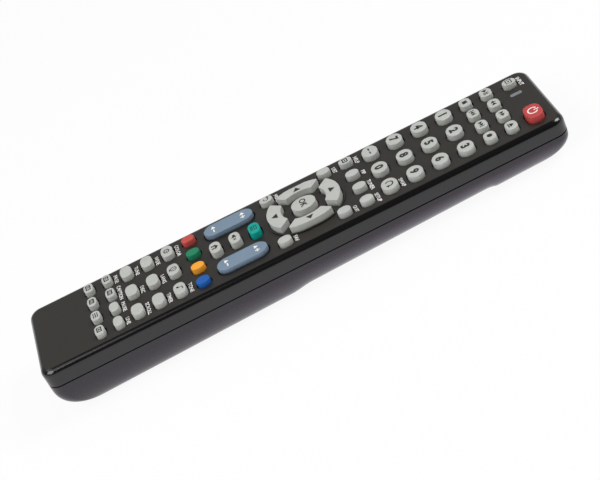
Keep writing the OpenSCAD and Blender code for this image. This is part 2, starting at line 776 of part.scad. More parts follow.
// A long key that tilts both ways on a round rib across its middle
module rocker(side) {
    color(SLATE) in_case() translate([side * rocker_cx, rocker_cy, 0]) {
        key_cap(rocker_w, rocker_l, flange_z, key_h);
        layer(rib_z, flange_z / 2) square([rocker_w - 1, rocker_bridge - 1], center = true);
        layer(rib_z + flange_t / 2, flange_z + rocker_flange_drop)
            square([rocker_w + 2 * flange_w, rocker_flange_l - 2], center = true);
        translate([-rocker_w / 2, 0, -rib_z]) rotate([0, 90, 0]) cylinder(r = rocker_rib_r, h = rocker_w);
        for (y = [-1, 1]) translate([0, y * rocker_post_y, 0])
            down_cylinder(post_r, post_z, flange_z / 2);
    }
}

top_case();
bottom_case();
battery_door();
keypad_sheet();
circuit_board();
control_chip();
emitter();
indicator_lens();
indicator_light();
battery_cells();
battery_springs();
battery_contacts();
case_screws();
key_enter();
for (turn = [0 : 3]) pad_key(turn);
for (r = ROCKERS) rocker(r[1]);
for (name = KEY_NODES) key_node(name);
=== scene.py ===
"""Dresses the solids of a universal remote control: moulded rubber keys, printed legends,
a smooth lower shell, a grooved battery door and a plain pale studio."""

import json
import math
from collections import namedtuple

import bmesh
import bpy
from bpy.props import FloatProperty, FloatVectorProperty, IntProperty, PointerProperty
from mathutils import Matrix, Vector


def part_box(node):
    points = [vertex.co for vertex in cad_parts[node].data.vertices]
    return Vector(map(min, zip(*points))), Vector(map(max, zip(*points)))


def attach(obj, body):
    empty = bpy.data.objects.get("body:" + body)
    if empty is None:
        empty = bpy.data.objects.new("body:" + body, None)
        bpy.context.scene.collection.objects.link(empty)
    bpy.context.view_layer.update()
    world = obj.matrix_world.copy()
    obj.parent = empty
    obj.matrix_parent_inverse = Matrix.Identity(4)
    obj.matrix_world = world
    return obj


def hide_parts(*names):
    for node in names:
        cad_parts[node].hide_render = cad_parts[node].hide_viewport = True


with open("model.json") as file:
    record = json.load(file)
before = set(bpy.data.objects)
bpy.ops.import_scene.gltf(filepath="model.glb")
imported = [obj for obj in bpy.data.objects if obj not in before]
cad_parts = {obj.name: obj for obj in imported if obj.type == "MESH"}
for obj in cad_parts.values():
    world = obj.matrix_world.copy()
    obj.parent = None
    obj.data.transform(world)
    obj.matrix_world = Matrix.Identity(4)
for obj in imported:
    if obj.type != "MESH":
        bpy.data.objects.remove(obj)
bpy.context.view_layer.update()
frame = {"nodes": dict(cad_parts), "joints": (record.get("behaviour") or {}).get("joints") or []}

bl_info = {
    "name": "Universal Remote Control",
    "version": (1, 0, 0),
    "blender": (4, 5, 0),
    "location": "3D View > Sidebar > Remote",
    "description": "Moulded keys, printed legends, shells and a plain studio for a remote control",
    "category": "Object",
}

MM = 0.001
EDGE_TINT = (0.99, 0.965, 0.995, 1.0)
SHELL_TINT = (0.97, 0.89, 1.0, 1.0)
NICKEL = (0.66, 0.63, 0.58)
CELL_NICKEL = (0.66, 0.64, 0.6)
# Where the band of a cell starts along it, and the width over which it blends in
BAND_START, BAND_BLEND = 0.72, 0.3 * MM


# Frames and measures taken from the solids

def case_frame():
    """From the case's own frame, z = 0 on the flat top and y = 0 at mid-length, to the row frame."""
    press = next(j for j in frame["joints"] if j["name"] == "key_enter_press")
    up = -Vector(press["axis"]).normalized()
    across = Vector((1, 0, 0))
    turn = Matrix((across, up.cross(across), up)).transposed()
    back = turn.transposed()
    reach = [(back @ v.co).y for v in frame["nodes"]["top_case"].data.vertices]
    level = max((back @ v.co).z for v in frame["nodes"]["indicator_lens"].data.vertices)
    middle = Vector((0, (min(reach) + max(reach)) / 2, level))
    return Matrix.Translation(turn @ middle) @ turn.to_4x4()


CASE = case_frame()
INTO_CASE = CASE.inverted()
CASE_UP = CASE.to_3x3() @ Vector((0, 0, 1))
# Turns the z axis of a place across the case
ACROSS = Matrix.Rotation(math.pi / 2, 4, "Y")

# A key as it stands above the flat top, the height from which its points count, and their slack
Cap = namedtuple("Cap", "x y width length height")
CAP_START = 0.5 * MM
CAP_SLACK = 1e-6


def caps_of(node, count=1):
    """Each key of a node as it stands above the flat top, from left to right."""
    points = [INTO_CASE @ v.co for v in frame["nodes"][node].data.vertices]
    points = [p for p in points if p.z > CAP_START]
    low = min(p.x for p in points)
    share = (max(p.x for p in points) - low) / count
    found = []
    for i in range(count):
        near = low + i * share - CAP_SLACK
        mine = [p for p in points if near <= p.x <= near + share + 2 * CAP_SLACK]
        x = [p.x for p in mine]
        y = [p.y for p in mine]
        found.append(Cap((min(x) + max(x)) / 2, (min(y) + max(y)) / 2,
                         max(x) - min(x), max(y) - min(y), max(p.z for p in mine)))
    return found


def length(name, text, size, **more):
    """A length property whose default is given in millimetres."""
    return FloatProperty(name=name, description=text, default=size * MM, unit="LENGTH", **more)


def degrees(name, text, size):
    """An angle property whose default is given in degrees."""
    return FloatProperty(name=name, description=text, default=math.radians(size), subtype="ANGLE")


def portion(name, text, part, least, most):
    """A property for a share between two limits."""
    return FloatProperty(name=name, description=text, default=part, min=least, max=most, subtype="FACTOR")


def number_of(name, text, number, least):
    """A property for a number of things."""
    return IntProperty(name=name, description=text, default=number, min=least)


def lamp_power(name, text, watts):
    """A property for the power of a lamp."""
    return FloatProperty(name=name, description=text, default=watts, min=0.0, unit="POWER")


def position(name, text, place):
    """A property for a place in the row frame."""
    return FloatVectorProperty(name=name, description=text, default=place, subtype="TRANSLATION")


def tint(name, text, colour):
    """A colour property."""
    return FloatVectorProperty(name=name, description=text, default=colour, subtype="COLOR",
                               size=3, min=0.0, max=1.0)


class RemoteSizes(bpy.types.PropertyGroup):
    """Sizes of the modelled details."""

    rocker_round: portion("Rocker ends", "Corner radius of a rocker over its width", 0.49, 0.2, 0.49)
    rocker_reach: FloatProperty(name="Rocker reach", default=1.2, min=1.0, max=2.0,
                                description="Length of a rocker's rounded end over its half width")
    key_edge: length("Key edge height", "How far the rounded upper edge of a key runs down", 0.34)
    key_shoulder: length("Key shoulder", "How far the rounded upper edge of a key runs inwards", 0.36)
    key_draft: length("Key draft", "How far a key narrows up to its rounded edge", 0.1)
    flange_depth: length("Flange depth", "Depth of a key's flange below the flat top", 1.95)
    flange_height: length("Flange height", "Thickness of a key's flange", 0.8)
    flange_width: length("Flange width", "Width of a key's flange", 0.8)
    post_depth: length("Post depth", "Depth of a key's contact post below the flat top", 4.05)
    post_radius: length("Post radius", "Radius of a key's contact post", 1.5)
    pad_corner: length("Pad corners", "Radius of the upright corners of a direction key", 0.75)
    pad_edge: length("Pad edge", "Radius of the rounded upper edge of a direction key", 0.42)
    ink: length("Ink thickness", "Thickness of a printed legend", 0.03)
    digit_height: length("Digit height", "Height of the digits on the number keys", 4.0)
    word_height: length("Word height", "Height of the capitals printed on the case", 1.75)


class ShellSizes(bpy.types.PropertyGroup):
    """Sizes of the lower shell."""

    depth: length("Depth", "Depth of the case at mid-length", 22.8)
    wedge: degrees("Wedge", "Angle between the flat top and the resting plane", 2.04)
    corner: length("Corner radius", "Radius of the case corners in plan", 5.5)
    seam: length("Parting line", "Depth of the parting line below the flat top at mid-length", 7.7)
    seam_tilt: degrees("Parting line tilt", "Angle between the parting line and the flat top", 0.32)
    seam_gap: length("Shadow gap", "Height of the shadow gap at the parting line", 0.6)
    wall: length("Wall", "Thickness of the side walls", 1.9)
    floor: length("Floor", "Thickness of the floor", 3.4)
    side_round: length("Side round", "How far the long sides curve in", 8.0)
    back_round: length("Back round", "How far the back end curves in", 14.0)
    front_round: length("Front round", "How far the front end curves in", 13.5)
    sole_corner: length("Sole corners", "Corner radius where the curve meets the resting plane", 10.0)
    upright: portion("Upright share", "Share of the depth that stays upright below the parting line",
                     0.19, 0.0, 0.9)
    recess: length("Recess", "Depth of the finger recess", 1.1)
    recess_back: length("Recess back", "Back end of the finger recess from mid-length", -12.0)
    recess_front: length("Recess front", "Front end of the finger recess from mid-length", 83.0)
    back_ramp: length("Back ramp", "Length of the ramp at the back of the recess", 9.0)
    front_ramp: length("Front ramp", "Length of the ramp at the front of the recess", 4.0)
    lip_drop: length("Lip drop", "How far the inner lip reaches below the parting line", 3.0)
    lip_top: length("Lip top", "Depth of the inner lip's upper edge below the flat top", 6.75)
    lip_width: length("Lip width", "Thickness of the inner lip", 1.3)
    bay_wall: length("Bay wall", "Thickness of the walls round the battery bay", 1.4)
    door_gap: length("Door gap", "Gap round the battery door", 0.25)
    notch: length("Notch", "Radius of the fingernail notch in front of the door", 4.0)
    post_wall: length("Screw post wall", "Wall of the posts that hold the screws", 1.7)
    fit: length("Fit", "Gap between fixed pieces that face each other", 0.15)
    pin_length: length("Hinge pins", "Length of each pin of the battery door", 1.4)
    end_steps: number_of("End steps", "Faces along each short end between its corners", 6, 1)
    side_steps: number_of("Side steps", "Faces along each long side between its corners", 110, 1)
    corner_steps: number_of("Corner steps", "Faces round each corner in plan", 20, 4)
    curve_steps: number_of("Curve steps", "Faces down the curve of the sides", 26, 4)
    grooves: number_of("Door grooves", "Grip grooves across the battery door", 7, 0)


class RemoteColours(bpy.types.PropertyGroup):
    """Colours of the finishes."""

    top: tint("Flat top", "Satin plastic of the flat top", (0.0148, 0.0122, 0.0078))
    # Painted shade: the edge colour is a much darker copy of the flat top's plastic.
    edge: tint("Case edge", "Glossy plastic round the edge of the upper case, darkened as painted shade", (0.0035, 0.0032, 0.0037))
    shell: tint("Lower shell", "Plastic of the lower shell", (0.0142, 0.0128, 0.0158))
    # Painted reflection: a lilac tinge mixed into the lower shell's colour where it turns down.
    painted_sheen: tint("Shell painted sheen", "Painted lilac reflection on the lower shell where it turns down", (0.042, 0.024, 0.066))
    grey: tint("Grey keys", "Light grey rubber", (0.492, 0.502, 0.472))
    red: tint("Power key", "Red rubber", (0.49, 0.062, 0.06))
    dark_red: tint("Red key", "Deep red rubber", (0.53, 0.08, 0.068))
    green: tint("Green key", "Green rubber", (0.012, 0.22, 0.11))
    orange: tint("Orange key", "Orange rubber", (0.9, 0.38, 0.035))
    blue: tint("Blue key", "Blue rubber", (0.01, 0.105, 0.41))
    teal: tint("Teal key", "Teal rubber", (0.0, 0.355, 0.297))
    slate: tint("Rockers", "Slate blue rubber", (0.19, 0.262, 0.345))
    dark_ink: tint("Dark ink", "Ink of the legends on grey keys", (0.014, 0.014, 0.014))
    white_ink: tint("White ink", "Ink of the words on the case", (0.9, 0.89, 0.86))
    sleeve: tint("Cell sleeve", "Printed sleeve of the cells", (0.03, 0.05, 0.085))
    band: tint("Cell band", "Band round the cells", (0.62, 0.36, 0.1))
    sheet: tint("Keypad sheet", "Dark rubber under the keys", (0.02, 0.02, 0.02))
    lens: tint("Indicator window", "Smoked window", (0.19, 0.21, 0.225))


class StageSettings(bpy.types.PropertyGroup):
    """Camera, lamps and floor."""

    camera_place: position("Camera", "Where the camera stands", (0.538169, 0.015526, 0.386069))
    camera_aim: position("Aim", "What the camera looks at", (0.014581, 0.000373, 0.02))
    camera_roll: degrees("Roll", "Turn of the camera about its own axis", -28.97)
    camera_lens: FloatProperty(name="Lens", default=94.38, min=1.0, unit="CAMERA",
                               description="Focal length on a sensor 36 mm wide")
    left_power: lamp_power("Left lamp", "Power of the softbox by the back end", 9.2)
    right_power: lamp_power("Right lamp", "Power of the softbox by the front end", 8.0)
    front_power: lamp_power("Front lamp", "Power of the small lamp beyond the front end", 0.6)
    overhead_power: lamp_power("Overhead lamp", "Power of the wide softbox above the back end", 1.2)
    floor: tint("Floor", "Colour of the floor", (0.86, 0.86, 0.86))


# Shader parts that the finishes share

def add(tree, kind, values=None, **settings):
    """A node in a tree, with its settings and socket values."""
    made = tree.nodes.new(kind)
    for key, value in settings.items():
        setattr(made, key, value)
    for key, value in (values or {}).items():
        made.inputs[key].default_value = value
    return made


def ramp(tree, start, end, low=0.0, high=1.0):
    """A node that takes a value from one range to another and stops at its ends."""
    return add(tree, "ShaderNodeMapRange",
               {"From Min": start, "From Max": end, "To Min": low, "To Max": high})


def maths(tree, operation, values=None):
    """A node that works with numbers."""
    return add(tree, "ShaderNodeMath", values, operation=operation)


def wire(tree, *joins):
    """Joins sockets in a tree, each join from a node's output to a node's input."""
    for source, leaving, target, entering in joins:
        tree.links.new(source.outputs[leaving], target.inputs[entering])


def new_group(name, inputs, outputs):
    """An empty shader node group with named sockets, and its two end nodes."""
    tree = bpy.data.node_groups.new(name, "ShaderNodeTree")
    for in_out, sockets in (("INPUT", inputs), ("OUTPUT", outputs)):
        for label, value in sockets.items():
            kind = "Vector" if value is None else "Color" if hasattr(value, "__len__") else "Float"
            socket = tree.interface.new_socket(label, in_out=in_out, socket_type="NodeSocket" + kind)
            if value is not None:
                socket.default_value = value
    return tree, add(tree, "NodeGroupInput"), add(tree, "NodeGroupOutput")


def moulded_grain():
    """Fine moulding texture: a height for bump, and a roughness that drifts between two values."""
    if "Moulded grain" in bpy.data.node_groups:
        return bpy.data.node_groups["Moulded grain"]
    tree, given, out = new_group(
        "Moulded grain",
        {"Vector": None, "Grain Scale": 5000.0, "Drift Scale": 90.0, "Smooth": 0.3, "Rough": 0.5},
        {"Height": 0.0, "Roughness": 0.0})
    fine = add(tree, "ShaderNodeTexNoise", {"Detail": 3.0, "Roughness": 0.6})
    drift = add(tree, "ShaderNodeTexNoise", {"Detail": 4.0, "Roughness": 0.55})
    blend = maths(tree, "MULTIPLY_ADD", {1: 0.3})
    spread = ramp(tree, 0.45, 0.85)
    wire(tree, (given, "Vector", fine, "Vector"), (given, "Grain Scale", fine, "Scale"),
         (given, "Vector", drift, "Vector"), (given, "Drift Scale", drift, "Scale"), (fine, "Fac", blend, 0),
         (drift, "Fac", blend, 2), (blend, "Value", spread, "Value"), (given, "Smooth", spread, "To Min"),
         (given, "Rough", spread, "To Max"), (fine, "Fac", out, "Height"),
         (spread, "Result", out, "Roughness"))
    return tree


def mottled_colour():
    """A colour that drifts a little, with sparse dust specks."""
    if "Mottled colour" in bpy.data.node_groups:
        return bpy.data.node_groups["Mottled colour"]
    tree, given, out = new_group(
        "Mottled colour",
        {"Vector": None, "Colour": (0.5, 0.5, 0.5, 1.0), "Shade": (0.4, 0.4, 0.4, 1.0), "Drift Scale": 120.0,
         "Speck": (0.7, 0.7, 0.7, 1.0), "Speck Scale": 900.0, "Speck Amount": 0.2},
        {"Colour": (0.5, 0.5, 0.5, 1.0)})
    drift = add(tree, "ShaderNodeTexNoise", {"Detail": 5.0, "Roughness": 0.6})
    ease = ramp(tree, 0.35, 0.7)
    soft = add(tree, "ShaderNodeMix", data_type="RGBA")
    dots = add(tree, "ShaderNodeTexNoise", {"Detail": 1.0, "Roughness": 0.4})
    rare = ramp(tree, 0.7, 0.78)
    share = maths(tree, "MULTIPLY")
    dusty = add(tree, "ShaderNodeMix", data_type="RGBA")
    for texture, scale in ((drift, "Drift Scale"), (dots, "Speck Scale")):
        wire(tree, (given, "Vector", texture, "Vector"), (given, scale, texture, "Scale"))
    wire(tree, (drift, "Fac", ease, "Value"), (ease, "Result", soft, "Factor"), (given, "Colour", soft, "A"),
         (given, "Shade", soft, "B"), (dots, "Fac", rare, "Value"), (rare, "Result", share, 0),
         (given, "Speck Amount", share, 1), (share, "Value", dusty, "Factor"), (soft, "Result", dusty, "A"),
         (given, "Speck", dusty, "B"), (dusty, "Result", out, "Colour"))
    return tree


def coat_and_painted_sheen():
    """A mask for a clear coat and for a painted lilac reflection: it grows along the length and on faces that
    turn down.
    """
    if "Hand polish" in bpy.data.node_groups:
        return bpy.data.node_groups["Hand polish"]
    tree, given, out = new_group(
        "Hand polish",
        {"Vector": None, "Normal": None, "Start": -0.1, "Full": 0.1, "Amount": 0.5}, {"Mask": 0.0})
    spot = add(tree, "ShaderNodeSeparateXYZ")
    turned = add(tree, "ShaderNodeSeparateXYZ")
    along = ramp(tree, 0.0, 1.0)
    down = ramp(tree, 0.0, -0.3)
    patch = add(tree, "ShaderNodeTexNoise", {"Scale": 60.0, "Detail": 3.0})
    patchy = ramp(tree, 0.2, 0.6, 0.85, 1.0)
    both = maths(tree, "MULTIPLY")
    spread = maths(tree, "MULTIPLY")
    share = maths(tree, "MULTIPLY")
    wire(tree, (given, "Vector", spot, "Vector"), (given, "Vector", patch, "Vector"),
         (given, "Normal", turned, "Vector"), (spot, "Y", along, "Value"),
         (given, "Start", along, "From Min"), (given, "Full", along, "From Max"),
         (turned, "Z", down, "Value"), (patch, "Fac", patchy, "Value"), (along, "Result", both, 0),
         (down, "Result", both, 1), (both, "Value", spread, 0), (patchy, "Result", spread, 1),
         (spread, "Value", share, 0), (given, "Amount", share, 1), (share, "Value", out, "Mask"))
    return tree


def painted_foot_shade():
    """A mask for the painted shade round the foot of a key, full at one height over the flat top, gone at
    another.
    """
    if "Settled soil" in bpy.data.node_groups:
        return bpy.data.node_groups["Settled soil"]
    tree, given, out = new_group(
        "Settled soil", {"Vector": None, "Low": 0.0, "High": 1.0 * MM}, {"Mask": 0.0})
    over = add(tree, "ShaderNodeVectorMath", {1: CASE.translation}, operation="SUBTRACT")
    height = add(tree, "ShaderNodeVectorMath", {1: CASE_UP}, operation="DOT_PRODUCT")
    patch = add(tree, "ShaderNodeTexNoise", {"Scale": 700.0, "Detail": 2.0})
    uneven = maths(tree, "MULTIPLY_ADD", {1: 0.5 * MM})
    fade = ramp(tree, 0.0, 1.0, 1.0, 0.0)
    wire(tree, (given, "Vector", over, 0), (given, "Vector", patch, "Vector"), (over, "Vector", height, 0),
         (patch, "Fac", uneven, 0), (height, "Value", uneven, 2), (uneven, "Value", fade, "Value"),
         (given, "Low", fade, "From Min"), (given, "High", fade, "From Max"), (fade, "Result", out, "Mask"))
    return tree


def place_group(tree, group, place, values):
    """A shared group in a material, fed with the texture coordinates and its own values."""
    made = add(tree, "ShaderNodeGroup", node_tree=group)
    wire(tree, (place, "Object", made, "Vector"))
    for key, value in values.items():
        made.inputs[key].default_value = (*value, 1.0) if hasattr(value, "__len__") else value
    return made


def shaded(colour, factor):
    """A colour made darker or lighter."""
    return tuple(min(1.0, c * factor) for c in colour)


def finish(name, colour, smooth, rough, grain=5000.0, depth=0.004, shade=0.86, drift=120.0,
           speck=0.15, speck_scale=900.0, **shader):
    """A moulded or metal finish: drifting colour and roughness, fine grain and dust specks."""
    if name in bpy.data.materials:
        return bpy.data.materials[name]
    material = bpy.data.materials.new(name)
    material.use_nodes = True
    tree = material.node_tree
    surface = tree.nodes["Principled BSDF"]
    for key, value in shader.items():
        surface.inputs[key.replace("_", " ")].default_value = value
    place = add(tree, "ShaderNodeTexCoord")
    texture = place_group(tree, moulded_grain(), place,
                          {"Grain Scale": grain, "Drift Scale": drift, "Smooth": smooth, "Rough": rough})
    paint = place_group(tree, mottled_colour(), place,
                        {"Colour": colour, "Shade": shaded(colour, shade), "Drift Scale": drift,
                         "Speck": shaded(colour, 1.5), "Speck Scale": speck_scale, "Speck Amount": speck})
    bump = add(tree, "ShaderNodeBump", {"Strength": 0.5, "Distance": depth * MM})
    wire(tree, (paint, "Colour", surface, "Base Color"), (texture, "Roughness", surface, "Roughness"),
         (texture, "Height", bump, "Height"), (bump, "Normal", surface, "Normal"))
    return material


def opened(material):
    """A finish's node tree, its shader and its texture coordinates."""
    tree = material.node_tree
    place = next(n for n in tree.nodes if n.type == "TEX_COORD")
    return tree, tree.nodes["Principled BSDF"], place


def mix_in(tree, kind, mask, target, values=None, side="A"):
    """Puts a mix of one kind, driven by a mask, between a shader's socket and what feeds it."""
    surface = tree.nodes["Principled BSDF"]
    under = surface.inputs[target].links[0].from_socket
    made = add(tree, "ShaderNodeMix", values, data_type=kind)
    tree.links.new(under, made.inputs[side])
    wire(tree, (*mask, made, "Factor"), (made, "Result", surface, target))
    return made


def case_finish(name, top, edge):
    """Upper case plastic: satin on the flat top, glossy round the edge and down the sides, where a darker
    copy of the colour gives painted shade.
    """
    material = finish(name, top, 0.34, 0.46, grain=4200.0, depth=0.012, shade=0.9, drift=45.0, speck=0.1,
                      Specular_Tint=EDGE_TINT, Specular_IOR_Level=0.65)
    tree, surface, place = opened(material)
    satin = surface.inputs["Roughness"].links[0].from_socket
    bump = surface.inputs["Normal"].links[0].from_node
    level = add(tree, "ShaderNodeVectorMath", {1: CASE_UP}, operation="DOT_PRODUCT")
    flat = ramp(tree, 0.93, 0.995)
    gloss = ramp(tree, 0.3, 0.5, 0.15, 0.22)
    paint = place_group(tree, mottled_colour(), place,
                        {"Colour": edge, "Shade": shaded(edge, 0.85), "Drift Scale": 45.0,
                         "Speck": shaded(edge, 2.0), "Speck Amount": 0.15})
    fade = maths(tree, "MULTIPLY", {1: 0.5})
    tree.links.new(satin, gloss.inputs["Value"])
    rough = mix_in(tree, "FLOAT", (flat, "Result"), "Roughness", side="B")
    # Painted shade: away from the flat top the base colour turns to the darker edge colour.
    colour = mix_in(tree, "RGBA", (flat, "Result"), "Base Color", side="B")
    wire(tree, (place, "Normal", level, 0), (level, "Value", flat, "Value"), (gloss, "Result", rough, "A"),
         (paint, "Colour", colour, "A"), (flat, "Result", fade, 0), (fade, "Value", bump, "Strength"))
    return material


def shell_finish(context):
    """Plastic of the lower shell and the battery door, with a clear coat and a painted lilac reflection that
    grow towards the front and on faces that turn down.
    """
    if "charcoal_plastic" in bpy.data.materials:
        return bpy.data.materials["charcoal_plastic"]
    colours = context.scene.remote_colours
    material = finish("charcoal_plastic", tuple(colours.shell), 0.16, 0.26, grain=3200.0,
                      depth=0.002, shade=0.9, drift=40.0, speck=0.1, Specular_Tint=SHELL_TINT,
                      Specular_IOR_Level=0.6, Coat_IOR=1.7, Coat_Roughness=0.16)
    tree, surface, place = opened(material)
    sheen_mask = place_group(tree, coat_and_painted_sheen(), place, {"Start": -0.11, "Full": 0.02, "Amount": 0.45})
    wire(tree, (place, "Normal", sheen_mask, "Normal"), (sheen_mask, "Mask", surface, "Coat Weight"))
    # Painted reflection: the base colour turns lilac where faces turn down, as if lit by the floor below.
    mix_in(tree, "RGBA", (sheen_mask, "Mask"), "Base Color", {"B": (*colours.painted_sheen, 1.0)})
    return material


def rubber(name, colour, foot_shade_factor):
    """Silicone rubber of a key, with painted shade that darkens it towards its foot by a share."""
    if name in bpy.data.materials:
        return bpy.data.materials[name]
    material = finish(name, colour, 0.5, 0.62, grain=5200.0, depth=0.006, shade=0.93, drift=160.0, speck=0.12,
                      Specular_IOR_Level=0.32)
    tree, _, place = opened(material)
    foot = place_group(tree, painted_foot_shade(), place, {"Low": 0.0, "High": 1.4 * MM})
    # Painted shade: the rubber's colour darkens towards the foot of the key, where it meets the case.
    mix_in(tree, "RGBA", (foot, "Mask"), "Base Color", {"B": (*shaded(colour, foot_shade_factor), 1.0)})
    return material


def cell_finish(name, sleeve, band):
    """Printed sleeve of a cell with a band at one end, and bare nickel on the end faces."""
    material = finish(name, sleeve, 0.22, 0.34, grain=900.0, depth=0.003)
    tree, surface, place = opened(material)
    low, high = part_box("battery_cells")
    band_start = low.y + BAND_START * (high.y - low.y)
    where = add(tree, "ShaderNodeSeparateXYZ")
    turned = add(tree, "ShaderNodeSeparateXYZ")
    printed = ramp(tree, band_start, band_start + BAND_BLEND)
    facing = maths(tree, "ABSOLUTE")
    bare = ramp(tree, 0.6, 0.8)
    mix_in(tree, "RGBA", (printed, "Result"), "Base Color", {"B": (*band, 1.0)})
    mix_in(tree, "RGBA", (bare, "Result"), "Base Color", {"B": (*CELL_NICKEL, 1.0)})
    wire(tree, (place, "Object", where, "Vector"), (place, "Normal", turned, "Vector"),
         (where, "Y", printed, "Value"), (turned, "Y", facing, 0), (facing, "Value", bare, "Value"),
         (bare, "Result", surface, "Metallic"))
    return material


def dress(node, material):
    """Gives a solid that keeps its shape its finish."""
    slots = frame["nodes"][node].material_slots
    if not slots:
        raise RuntimeError(node + " has no material slot")
    for slot in slots:
        slot.material = material


# Mesh parts

def join_loops(bm, low, high):
    """Faces between two loops of vertices with the same count."""
    for i in range(len(low)):
        j = (i + 1) % len(low)
        bm.faces.new((low[i], low[j], high[j], high[i]))


def stack(bm, rings):
    """A closed body from rings of points, each with the same count, from the lowest up."""
    loops = [[bm.verts.new(p) for p in ring] for ring in rings]
    for low, high in zip(loops, loops[1:]):
        join_loops(bm, low, high)
    bm.faces.new(loops[0][::-1])
    bm.faces.new(loops[-1])


def rounded_outline(across, along, r, steps=12, reach=1.0):
    """Points round a rectangle with rounded corners, anticlockwise from the right."""
    points = []
    for q in range(4):
        x = (across / 2 - r) * (1 if q in (0, 3) else -1)
        y = (along / 2 - r * reach) * (1 if q < 2 else -1)
        for s in range(steps + 1):
            a = math.pi / 2 * (q + s / steps)
            points.append((x + r * math.cos(a), y + r * reach * math.sin(a)))
    return points


def oval_outline(across, along, power, steps=56):
    """Points round an oval that grows squarer with its power, anticlockwise from the right."""
    points = []
    for i in range(steps):
        c, s = math.cos(2 * math.pi * i / steps), math.sin(2 * math.pi * i / steps)
        points.append((across / 2 * math.copysign(abs(c) ** (2 / power), c),
                       along / 2 * math.copysign(abs(s) ** (2 / power), s)))
    return points


def block(bm, low, high, place):
    """A box between two corners."""
    x, y = (low[0], high[0]), (low[1], high[1])
    ring = [(x[0], y[0]), (x[1], y[0]), (x[1], y[1]), (x[0], y[1])]
    stack(bm, [[place @ Vector((*p, z)) for p in ring] for z in (low[2], high[2])])


def rod(bm, radius, low, high, place, steps=96):
    """A cylinder about the z axis of a place."""
    stack(bm, [[place @ Vector((*p, z)) for p in disc(0, 0, radius, steps)] for z in (low, high)])


def mark_edges(bm, angle):
    """Smooth faces with sharp edges where the surface turns by more than an angle."""
    bmesh.ops.recalc_face_normals(bm, faces=bm.faces)
    for face in bm.faces:
        face.smooth = True
    for edge in bm.edges:
        edge.smooth = edge.is_manifold and edge.calc_face_angle(0.0) < math.radians(angle)


def to_object(bm, name):
    """A new object in the scene from a built mesh."""
    mesh = bpy.data.meshes.new(name)
    bm.to_mesh(mesh)
    bm.free()
    made = bpy.data.objects.new(name, mesh)
    bpy.context.scene.collection.objects.link(made)
    return made


def reopened(made):
    """The mesh of a working object, to build on, without the object."""
    bm = bmesh.new()
    bm.from_mesh(made.data)
    bpy.data.objects.remove(made)
    return bm


def piece(bm, name, material, body, stands_for=(), angle=32.0):
    """A finished piece of the remote that rides on a body."""
    mark_edges(bm, angle)
    made = to_object(bm, name)
    made.data.materials.append(material)
    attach(made, body)
    if stands_for:
        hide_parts(*stands_for)
    return made


def carve(target, build, operation="DIFFERENCE"):
    """Cuts a built form out of a mesh object, or joins it on."""
    bm = bmesh.new()
    build(bm)
    bmesh.ops.recalc_face_normals(bm, faces=bm.faces)
    tool = to_object(bm, "tool")
    step = target.modifiers.new("carve", "BOOLEAN")
    step.operation = operation
    step.solver = "EXACT"
    step.object = tool
    bpy.context.view_layer.update()
    seen = target.evaluated_get(bpy.context.evaluated_depsgraph_get())
    made = bpy.data.meshes.new_from_object(seen)
    if not made.polygons:
        raise RuntimeError("carving left nothing of " + target.name)
    target.modifiers.clear()
    old = target.data
    target.data = made
    bpy.data.meshes.remove(old)
    used = tool.data
    bpy.data.objects.remove(tool)
    bpy.data.meshes.remove(used)


# Keys

EDGE_STEPS = 7


def key_rings(sizes, cap, low_levels, outline):
    """Rings of a key from its lowest level up over the rounded edge to the flat of its top."""

    def level(grow, z):
        plan = outline(cap.width + 2 * grow, cap.length + 2 * grow)
        return [CASE @ Vector((cap.x + x, cap.y + y, z)) for x, y in plan]

    rings = [level(grow, z) for grow, z in low_levels]
    for k in range(EDGE_STEPS + 1):
        a = math.pi / 2 * k / EDGE_STEPS
        rings.append(level(-sizes.key_draft - sizes.key_shoulder * (1 - math.cos(a)),
                           cap.height - sizes.key_edge * (1 - math.sin(a))))
    return rings


def plain_key(bm, sizes, cap, power):
    """A key with its flange and contact post."""
    flange_low = -sizes.flange_depth - sizes.flange_height
    radius = min(sizes.post_radius, cap.length / 3)
    post = oval_outline(2 * radius, 2 * radius, 2.0)
    rings = [[CASE @ Vector((cap.x + x, cap.y + y, z)) for x, y in post]
             for z in (-sizes.post_depth, flange_low)]
    levels = [(sizes.flange_width, flange_low), (sizes.flange_width, -sizes.flange_depth),
              (0.0, -sizes.flange_depth)]
    stack(bm, rings + key_rings(sizes, cap, levels, lambda a, b: oval_outline(a, b, power)))


GROUPS = {"keys_play": 4, "keys_skip": 4, "keys_info": 4, "keys_text_front": 4, "keys_text_back": 4}
DIGIT_KEYS = [*("key_%d" % digit for digit in range(1, 10)), "key_dash", "key_0", "key_recall"]
PLAIN_KEYS = {
    "grey": ["key_input", "keys_play", "keys_skip", *DIGIT_KEYS, "keys_info", "key_menu", "key_exit",
             "key_back", "key_guide", "key_mute", "key_home", "key_picture", "key_light", "key_sound",
             "key_zoom", "key_track", "key_timer", "key_auto", "key_media", "key_page",
             "keys_text_front", "keys_text_back", "key_enter"],
    "red": ["key_power"], "dark_red": ["key_red"], "green": ["key_green"], "orange": ["key_orange"],
    "blue": ["key_blue"], "teal": ["key_teal"],
}
# How square the outline of each kind of key is: 2 is an ellipse
SMALL_OVALS = ("key_input", "keys_info", "key_menu", "key_exit", "key_back", "key_guide",
               "key_red", "key_green", "key_orange", "key_blue")
OVALS = {"key_enter": 2.1, "key_power": 2.7, **{node: 2.2 for node in SMALL_OVALS},
         **{node: 2.1 for node in DIGIT_KEYS}}
SQUARE_OVAL = 2.65
ROCKERS = ("rocker_left", "rocker_right")
ARROWS = {"key_up": 90.0, "key_left": 180.0, "key_down": 270.0, "key_right": 0.0}
